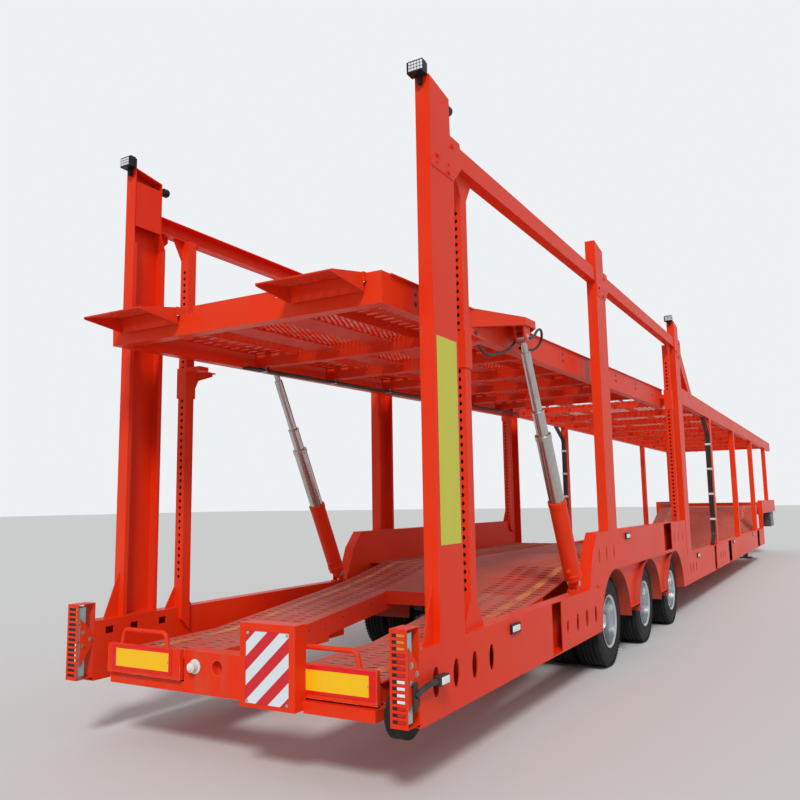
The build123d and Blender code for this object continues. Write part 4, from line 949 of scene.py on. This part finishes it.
# %% [markdown]
# The tilting deck is closed right across. Its middle is expanded metal on two flat inner
# bars and six deep cross members, and slotted plates run along both edges. A plate with
# slots is made from tiles, each of them one slot with the metal round it, so nothing has
# to be cut.


# %% The tilting deck's floor
def slot_tile(size, slot, thick):
    """A piece of plate with one slot; its outer edges stay open for the next tile."""
    corners = []
    for z in (-thick, 0.0):
        for a, b in (size, slot):
            corners += [(a / 2, b / 2, z), (-a / 2, b / 2, z), (-a / 2, -b / 2, z), (a / 2, -b / 2, z)]
    faces = []
    for i in range(4):
        j = (i + 1) % 4
        faces += [[8 + i, 8 + j, 12 + j, 12 + i], [i, 4 + i, 4 + j, j], [4 + i, 12 + i, 12 + j, 4 + j]]
    return plain_mesh("slot tile", corners, faces)


whole = bmesh.new()
bars = Pile()
DECK_IN = HALF - 0.27
DECK_BARS = [-5.78 + i for i in range(6)]
PLATE_IN = 0.53
deck_y = (DECK_TAIL + 0.09, 0.10)
deck_top = 0.05
for y in DECK_BARS:
    c_bar(bars, y, deck_top, 0.11, DECK_IN, ON_DECK)
slot_rows = 72
tile_x = (DECK_IN - PLATE_IN) / 3
tile_y = (deck_y[1] - deck_y[0]) / slot_rows
for side in (1, -1):
    bars.block((side * 0.14, side * 0.34), deck_y, (0.0, 0.008), ON_DECK)
    bars.block(span(side * 0.24, 0.004), deck_y, (0.008, deck_top), ON_DECK)
    bars.block(span(side * PLATE_IN, 0.006), deck_y, (0.0, deck_top), ON_DECK)
    spots = [(side * (PLATE_IN + tile_x * (k + 0.5)), deck_y[0] + tile_y * (i + 0.5), deck_top + 0.008)
             for k in range(3) for i in range(slot_rows)]
    add_mesh(whole, tiled(slot_tile((tile_x, tile_y), (0.085, 0.022), 0.006), spots, deck_paint), ON_DECK)
mesh_x = span(0, PLATE_IN - 0.006)
add_mesh(whole, expanded_sheet(mesh_x, deck_y, deck_top + 0.005, 0.075, 0.035, 0.005, 0.0065), ON_DECK)
finish_floor("tilting deck floor", whole, bars, "deck_floor", "upper_deck")

# %% [markdown]
# The lower floors are plates with pressed slots, whose raised rims grip a tyre. Only the rim
# and the dark inside show, so each slot is a low ring with a dark sheet just above the
# plate, painted shade for the inside of the slot.
# Four rows run along each side, one part of the rising floor at a time, and the worn guide
# line lies between the outer two.


# %% Pressed slots on the lower floors
def slot_outline(length, width, shrink, z):
    """An eight-cornered slot, made smaller all round."""
    a, b = length / 2 - shrink, width / 2 - shrink
    c = min(a, b) * 0.6
    return [(x, y, z) for x, y in ((a, b - c), (a - c, b), (c - a, b), (-a, b - c),
                                   (-a, c - b), (c - a, -b), (a - c, -b), (a, c - b))]


def pressed_rim(length, width):
    steps = ((0.0, 0.0), (0.002, 0.0025), (0.0035, 0.0025), (0.005, 0.0004))
    corners = [c for shrink, z in steps for c in slot_outline(length, width, shrink, z)]
    return plain_mesh("rim", corners, bands(4, 8))


# A dark sheet in each slot, painted shade for the slot's shaded inside.
def painted_slot_shade(length, width):
    return plain_mesh("lid", slot_outline(length, width, 0.0048, 0.0006), [list(range(8))])


FLOOR_LINES = [(0.170, 0.570), (1.100, 0.578), (2.600, 0.735), (3.050, 0.800), (3.500, 0.885),
               (7.380, 0.885)]
SLOT_COLUMNS = (0.500, 0.625, 0.785, 0.930)
SLOT_SIZE = (0.086, 0.038)
SLOT_PITCH = 0.070
for name, parts, colour in (("track slots", (0, 1), track_paint), ("floor slots", (2, 3, 4), floor_paint)):
    rims = bmesh.new()
    lids = bmesh.new()
    for part in parts:
        (y0, z0), (y1, z1) = FLOOR_LINES[part], FLOOR_LINES[part + 1]
        length = math.hypot(y1 - y0, z1 - z0)
        count = int(length / SLOT_PITCH)
        spots = [(sign * x, length / count * (j + 0.5), 0.0)
                 for sign in (1, -1) for x in SLOT_COLUMNS for j in range(count)]
        slope = Matrix.Rotation(math.atan2(z1 - z0, y1 - y0), 4, "X")
        place = ON_TRAILER @ Matrix.Translation((0, y0, z0)) @ slope
        add_mesh(rims, tiled(pressed_rim(*SLOT_SIZE), spots, colour), place)
        add_mesh(lids, tiled(painted_slot_shade(*SLOT_SIZE), spots, dark_plastic_and_painted_shade), place)
    show(f"{name} rims", whole_mesh("rims", rims), "root", colour)
    show(f"{name} lids", whole_mesh("lids", lids), "root", dark_plastic_and_painted_shade)
    print(name, "done")

# %% [markdown]
# The two loading flaps of the upper deck are slotted in the same way, and from below their
# slots show as rows of short dashes. Their rims are drawn level about the flap's own hinge,
# under and over its plate, and then drooped with it.

# %% Slots of the flaps
FLAP_HINGE = (DECK_TAIL - 0.018, DECK_TOP - 0.014)
FLAP_IN = HALF - 0.805
ON_FLAP = ON_DECK @ Matrix.Translation((0, *FLAP_HINGE)) @ Matrix.Rotation(math.radians(9), 4, "X")
for side, sign in (("right", 1), ("left", -1)):
    spots = [Vector((sign * (FLAP_IN + 0.085 * (i + 1)), -0.060 * (j + 1) - 0.007, 0.0))
             for i in range(5) for j in range(4)]
    for height, turn, label in ((0.0058, math.pi, "under"), (0.0142, 0.0, "over")):
        flat = Matrix.Rotation(turn, 4, "X")
        rims = bmesh.new()
        add_mesh(rims, tiled(pressed_rim(0.074, 0.026), [flat @ q for q in spots], paint),
                 ON_FLAP @ Matrix.Translation((0, 0, height)) @ flat)
        show(f"flap rims {label} {side}", whole_mesh("flap rims", rims), f"flap_{side}", paint)
print("flap slots done")

# %% [markdown]
# The tail carries most of the small things. Behind each ladder of slots stands a row of
# lamps, amber above, then red, clear and red again, in sea-green cases that show at the
# open side. One lens per slot is enough, because only the slots let it be seen, and a dark
# plate behind it, painted shade for the dark inside of the slot, keeps the case from
# showing through.


# %% Tail lamps
def rounded_bar(x, y, z, pile):
    """A bar along X with a domed rear face."""
    (front, back), (low, high) = y, z
    middle, half = (low + high) / 2, (high - low) / 2
    dome = [(front + (back - front) * (1 - math.cos(a)) * 0.5, middle + half * math.sin(a))
            for a in (math.radians(d) for d in range(-90, 91, 30))]
    pile.prism(dome + [(back, high), (back, low)], x)


LENS_X = {1: (1.190, 1.234), -1: (-1.174, -1.166)}
lamp_colours = [amber] * 3 + [red_lens] * 4 + [clear_lens] * 4 + [red_lens] * 3
LADDER_TOP, LADDER_FOOT = 0.867, 0.398
slot_pitch = (LADDER_TOP - LADDER_FOOT) / (len(lamp_colours) + 1)
slot_heights = [LADDER_TOP - slot_pitch * (i + 1) for i in range(len(lamp_colours))]
for lens_finish, label in ((amber, "amber"), (red_lens, "red"), (clear_lens, "clear")):
    pile = Pile()
    for middle, chosen in zip(slot_heights, lamp_colours):
        for sign in (1, -1):
            if chosen is lens_finish:
                rounded_bar(LENS_X[sign], (0.0012, 0.0030), span(middle, 0.0075), pile)
    show(f"{label} tail lenses", pile, "root", lens_finish)
# Dark plates behind the lenses are painted shade inside the lamp slots.
lamp_slot_shade = Pile()
for middle in slot_heights:
    lamp_slot_shade.pair((1.1635, 1.2365), (0.0030, 0.0039), span(middle, 0.0085))
show("tail lamp shades", lamp_slot_shade, "root", dark_plastic_and_painted_shade)
cases = Pile()
for low in (0.4165 + 0.1085 * i for i in range(4)):
    cases.pair((1.1605, 1.2395), (0.006, 0.066), (low, low + 0.105))
    cases.pair((1.170, 1.230), (0.066, 0.074), (low + 0.02, low + 0.085))
show("tail lamp cases", cases, "root", lamp_case, bevel=0.003)
print("tail lamps done")

# %% [markdown]
# The ramps' ends carry yellow reflectors on red boards, and the striped board sits in its box
# with a screw at each corner. A long yellow-green strip runs up the rear post. They could be
# colours on the faces behind them, but real boards stand proud, so each is a thin block.


# %% Boards and the strip
def board(name, body, x, y, z, used, bevel):
    pile = Pile()
    pile.block(x, y, z)
    show(name, pile, body, used, bevel=bevel)


def facing_back(x_places, y, z_places):
    return [(ON_TRAILER @ Vector((x, y, z)), BACK) for x in x_places for z in z_places]


for side, body, wide, inner in (("right", "root", (0.475, 0.992), (0.500, 0.956)),
                                ("left", "ramp_stowed_left", (-0.962, -0.444), (-0.924, -0.468))):
    board(f"red board {side}", body, wide, (0.1165, 0.1200), (0.476, 0.627), board_red, 0.002)
    board(f"yellow board {side}", body, inner, (0.1148, 0.1165), (0.494, 0.602), board_yellow, 0.0006)
    rivets = facing_back((inner[0] + 0.004, inner[1] - 0.004), 0.1148, (0.548,))
    bolts(f"board rivets {side}", body, rivets, 0.004, 0.003)
board("striped board", "root", (0.2185, 0.5145), (0.0215, 0.0262), (0.4135, 0.7955), stripes, 0.001)
bolts("board screws", "root", facing_back((0.230, 0.503), 0.0215, (0.425, 0.784)), 0.006, 0.004)
board("post strip", "root", (1.2500, 1.2522), (0.388, 0.637), (1.250, 2.400), strip_yellow, 0.0008)
print("boards done")

# %% [markdown]
# A white socket for a plug sits left of the round hole in the tail beam. On the right, a
# rubber arm holds a marker lamp out past the lamp housing, with a clear lens on its side.
# The socket is turned from a profile, and the arm is a pipe along a rounded path, because
# rubber bends softly.

# %% Socket and marker lamp
socket = Pile()
face = ON_TRAILER @ Matrix.Translation((-0.283, 0.150, 0.536)) @ Matrix.Rotation(QUARTER, 4, "X")
socket.turned([(0.043, 0.0), (0.043, 0.004), (0.030, 0.008), (0.026, 0.030), (0.029, 0.032), (0.029, 0.040),
               (0.024, 0.043), (0.017, 0.043), (0.016, 0.052), (0.010, 0.055)], face, 28)
show("white socket", socket, "root", plastic_white, bevel=0.001)
arm = Pile()
arm.block((1.250, 1.262), (0.045, 0.085), (0.470, 0.610))
bend = [(1.258, 0.065, 0.54), (1.272, 0.11, 0.565), (1.288, 0.17, 0.585), (1.296, 0.23, 0.585)]
arm.pipe(curve(bend, 4), 0.015)
arm.block((1.276, 1.316), (0.225, 0.325), (0.560, 0.612))
show("marker arm", arm, "root", hose_rubber, bevel=0.006)
glass = Pile()
glass.block((1.314, 1.323), (0.235, 0.315), (0.567, 0.605))
show("marker lens", glass, "root", clear_lens, bevel=0.004)
print("socket and marker lamp done")

# %% [markdown]
# Clear lamps line the side beams. Work lamps look backwards from the heads of the rear and
# front tall posts: a dark case with cooling fins and a grid of small square lights. Bump
# could draw the squares, but they stand proud and catch the light, so they are low blocks.

# %% Side lamps and work lamps
side_lenses = Pile()
for y, z in ((1.390, 0.680), (4.360, 1.130), (8.240, 0.700), (12.000, 0.700), (15.220, 0.700)):
    side_lenses.pair((1.256, 1.268), span(y, 0.062), span(z, 0.020))
show("side lamp lenses", side_lenses, "root", clear_lens, bevel=0.006)
grid = Pile()
fins = Pile()
for y in (0.360, 7.470):
    rear, low = y - 0.070, POST_Y[y] - 0.010
    for x in (1.158 + 0.0185 * k for k in range(5)):
        for z in (low + 0.016 + 0.019 * m for m in range(3)):
            grid.pair((x, x + 0.015), (rear - 0.004, rear + 0.002), (z - 0.007, z + 0.008))
    for x in (1.152 + 0.012 * k for k in range(8)):
        fins.pair((x, x + 0.004), (rear + 0.012, rear + 0.060), (low + 0.068, low + 0.082))
    for sign in (1, -1):
        back = ON_TRAILER @ Matrix.Translation((sign * 1.205, y + 0.300, POST_Y[y] - 0.075))
        fins.turned([(0.030, 0.0), (0.032, 0.006), (0.032, 0.040), (0.026, 0.050)],
                    back @ Matrix.Rotation(-QUARTER, 4, "X"))
show("lamp grids", grid, "root", clear_lens, bevel=0.002)
show("lamp fins", fins, "root", dark_plastic_and_painted_shade, bevel=0.001)
print("side lamps and work lamps done")

# %% [markdown]
# Each lifting cylinder ends every tube in a gland ring, wider than the tube, which keeps its
# seal in place. The barrel has a second ring and an oil port near its foot. Flat-headed pins
# hold both eyes. All are turned from short profiles, and the rings are open, so that the
# next tube can slide in.

# %% Cylinder fittings
GLANDS = (("barrel", 0.070, 0.750, 0.040, paint, "red_paint"),
          ("stage_1", 0.060, 1.318, 0.040, zinc, "chrome"),
          ("stage_2", 0.046, 1.518, 0.012, zinc, "chrome"))
for side, mirror in SIDES.items():
    along = ON_TRAILER @ mirror @ ON_TRAILER.inverted() @ ON_CYLINDER
    for tube, radius, end, deep, used, slot_name in GLANDS:
        gland = Pile()
        under, over, bore = radius - 0.002, radius + 0.004, radius - 0.009
        gland.turned([(under, end - deep), (over, end - deep + 0.004), (over, end - 0.002),
                      (radius + 0.001, end + 0.003), (bore, end + 0.003), (bore, end - 0.001),
                      (under, end - 0.001)], along, ROUND, bored=True)
        if tube == "barrel":
            foot_ring = [(under, 0.078), (radius + 0.005, 0.082), (radius + 0.005, 0.100), (under, 0.104)]
            gland.turned(foot_ring, along, ROUND, bored=True)
            port = along @ Matrix.Translation((0, -0.066, 0.150)) @ Matrix.Rotation(QUARTER, 4, "X")
            gland.turned([(0.020, 0.0), (0.020, 0.012), (0.016, 0.014), (0.016, 0.024), (0.010, 0.026)],
                         port, 12)
            gland.turned([(0.006, -0.004), (0.005, 0.012)], port, 12)
        show(f"gland {tube}_{side}", gland, f"{tube}_{side}", used, bevel=0.001)
for name, body, spot in (("foot pin heads", "root", FOOT), ("eye pin heads", "upper_deck", EYE)):
    pins = Pile()
    for mirror in SIDES.values():
        for sign, reach in ((1, 0.007), (-1, 0.012)):
            place = ON_TRAILER @ mirror @ Matrix.Translation((spot.x + sign * 0.0395, spot.y, spot.z))
            pins.turned([(0.024, 0.0), (0.026, 0.002), (0.026, reach - 0.002), (0.023, reach)],
                        place @ Matrix.Rotation(sign * QUARTER, 4, "Y"))
    show(name, pins, body, zinc)
print("cylinder fittings done")

# %% [markdown]
# Hoses run down the first slim posts and under the deck in white clamps. The CAD model has
# the clamps as plain blocks in hose rubber, so a white clamp closes round each of them, which
# is easier than cutting them out of the hose. Those on the posts have a cover rib and two
# bolts.

# %% Hose clamps
clamps = Pile()
clamp_bolts = []
CLAMP_Y = 10.062
for z in (1.150, 1.550, 1.950, 2.350):
    clamps.pair((1.163, 1.247), (CLAMP_Y, CLAMP_Y + 0.037), span(z, 0.017))
    clamps.pair((1.170, 1.240), (CLAMP_Y - 0.005, CLAMP_Y), span(z, 0.010))
    clamp_bolts += facing_back((1.168, 1.242, -1.168, -1.242), CLAMP_Y, (z,))
show("post hose clamps", clamps, "root", plastic_white, bevel=0.003)
bolts("clamp bolts", "root", clamp_bolts, 0.005, 0.004)
under = Pile()
for y in DECK_BARS:
    for k in range(3):
        x = 0.060 - DECK_IN + 0.026 * (k - 1)
        under.block(span(x, 0.0125), span(y, 0.0165), (-0.0955, -0.059), ON_DECK)
show("deck hose clamps", under, "upper_deck", plastic_white, bevel=0.003)
print("clamps done")

# %% [markdown]
# At the top of the right lifting cylinder two short hoses leave the rod's eye and loop to
# the deck's side beam, slack enough for the cylinder to swing. Each is a free cord on a
# smooth spline through its own control points, and its real length is measured on it.

# %% Hose loops at the rod's end
HOSE_R = 0.010
LOOPS = {
    "front": [(1.206, 1.975, 2.668), (1.208, 2.060, 2.680), (1.200, 2.170, 2.770), (1.180, 2.330, 2.805),
              (1.150, 2.410, 2.730), (1.120, 2.330, 2.645), (1.085, 2.200, 2.630), (1.064, 2.150, 2.640)],
    "rear": [(1.116, 1.935, 2.655), (1.108, 1.880, 2.590), (1.100, 1.620, 2.500), (1.092, 1.400, 2.465),
             (1.080, 1.300, 2.540), (1.064, 1.350, 2.620)],
}
for label, points in LOOPS.items():
    route = bpy.data.curves.new("hose loop", "CURVE")
    route.dimensions = "3D"
    route.resolution_u = 8
    spline = route.splines.new("NURBS")
    spline.points.add(len(points) - 1)
    for spot, place in zip(spline.points, points):
        spot.co = (*(ON_TRAILER @ Vector(place)), 1.0)
    spline.order_u = 3
    spline.use_endpoint_u = True
    loop = add_object(f"hose_loop_{label}", route)
    line = bpy.data.meshes.new_from_object(loop)
    ends = [[line.vertices[i].co for i in edge.vertices] for edge in line.edges]
    length = round(sum((a - b).length for a, b in ends), 3)
    route.bevel_depth = HOSE_R
    route.bevel_resolution = 4
    route.use_fill_caps = True
    route.materials.append(hose_rubber)
    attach(loop, "upper_deck")
    print(label, "hose loop", length, "m")

# %% [markdown]
# The front end is plainer. The tool boxes have pressed doors with hinges and latches, and the
# landing legs have a gearbox, a cross shaft and a folding crank. They stand far from the
# camera, so blocks and pipes with soft edges are enough.

# %% Tool-box doors and leg gear
doors = Pile()
gear = Pile()
doors.pair((1.234, 1.243), (19.635, 20.515), (0.745, 1.075))
doors.pair((1.243, 1.248), (19.700, 20.450), (0.800, 1.020))
for y in (19.85, 20.30):
    gear.pair((1.243, 1.254), span(y, 0.030), (1.035, 1.090))
    for x in (1.247, -1.247):
        gear.pipe([(x, end, 0.742) for end in span(y, 0.06)], 0.008)
LEG_Y = 17.96
gear.pair((0.640, 0.694), span(LEG_Y, 0.070), (0.780, 0.930))
gear.block((1.050, 1.075), span(LEG_Y, 0.015), (0.600, 0.870))
for ends, z, radius in (((-0.645, 0.645), 0.855, 0.017), ((0.824, 1.06), 0.855, 0.014),
                        ((1.055, 1.165), 0.612, 0.013)):
    gear.pipe([(x, LEG_Y, z) for x in ends], radius)
show("tool box doors", doors, "root", black_paint, bevel=0.004)
show("leg gear", gear, "root", dark_steel, bevel=0.002)
print("front end done")

# %% [markdown]
# The camera stands where the photographer stood: low, behind and to the right of the
# trailer. Its place and lens come from lines of known length on the trailer. A constraint
# could aim it, but three angles also keep its small roll.

# %% Camera
EYE_PLACE = Vector((3.179, REAR - 3.396, 1.477))
YAW, PITCH, ROLL = math.radians(-29.81), math.radians(7.54), math.radians(-0.90)
forward = Vector((math.sin(YAW) * math.cos(PITCH), math.cos(YAW) * math.cos(PITCH), math.sin(PITCH)))
level = Vector((math.cos(YAW), -math.sin(YAW), 0))
above = level.cross(forward)
right = level * math.cos(ROLL) + above * math.sin(ROLL)
top = above * math.cos(ROLL) - level * math.sin(ROLL)
camera = add_object("camera", bpy.data.cameras.new("camera"))
camera.data.lens = 35.127
camera.data.sensor_width = 36.0
camera.data.clip_end = 500.0
camera.matrix_world = Matrix.Translation(EYE_PLACE) @ Matrix((right, top, -forward)).transposed().to_4x4()
bpy.context.scene.camera = camera
print("camera at", [round(c, 3) for c in EYE_PLACE])

# %% [markdown]
# The light is a pale even surround with one broad soft sun, and the floor is a plain pale
# ground. The camera sees a brighter surround than the one that lights the trailer. Light
# Path nodes do that, because more light on the paint would wash its colour out.

# %% Light and floor
sun = add_object("sun", bpy.data.lights.new("sun", "SUN"))
sun.data.energy = 2.0
sun.data.angle = math.radians(12)
sun.rotation_euler = Vector((-0.42, 0.75, -0.78)).to_track_quat("-Z", "Y").to_euler()

world = bpy.data.worlds.new("surround")
bpy.context.scene.world = world
world.use_nodes = True
sky = world.node_tree
plain = sky.nodes["Background"]
plain.inputs["Color"].default_value = (0.95, 0.97, 1.0, 1.0)
plain.inputs["Strength"].default_value = 0.55
pale = node(sky, "ShaderNodeBackground", Color=(0.86, 0.88, 0.90, 1.0), Strength=1.0)
ray = node(sky, "ShaderNodeLightPath").outputs
seen = maths(sky, "MAXIMUM", ray["Is Camera Ray"], ray["Is Transmission Ray"])
seen = maths(sky, "MAXIMUM", seen, maths(sky, "MULTIPLY", ray["Is Glossy Ray"], 0.35))
choose = node(sky, "ShaderNodeMixShader", seen, plain.outputs[0], pale.outputs[0])
sky.links.new(choose.outputs[0], sky.nodes["World Output"].inputs["Surface"])

WIDE = 150
corners = [(-WIDE, -WIDE, 0), (WIDE, -WIDE, 0), (WIDE, WIDE, 0), (-WIDE, WIDE, 0)]
ground = add_object("floor", plain_mesh("floor", corners, [[0, 1, 2, 3]]))
stone = bpy.data.materials.new("pale floor")
stone.use_nodes = True
stone.node_tree.nodes["Principled BSDF"].inputs["Base Color"].default_value = (0.62, 0.62, 0.61, 1.0)
stone.node_tree.nodes["Principled BSDF"].inputs["Roughness"].default_value = 0.9
ground.data.materials.append(stone)
bpy.context.scene.view_settings.view_transform = "Standard"
print("sun of strength", sun.data.energy, "and ground", 2 * WIDE, "m wide")
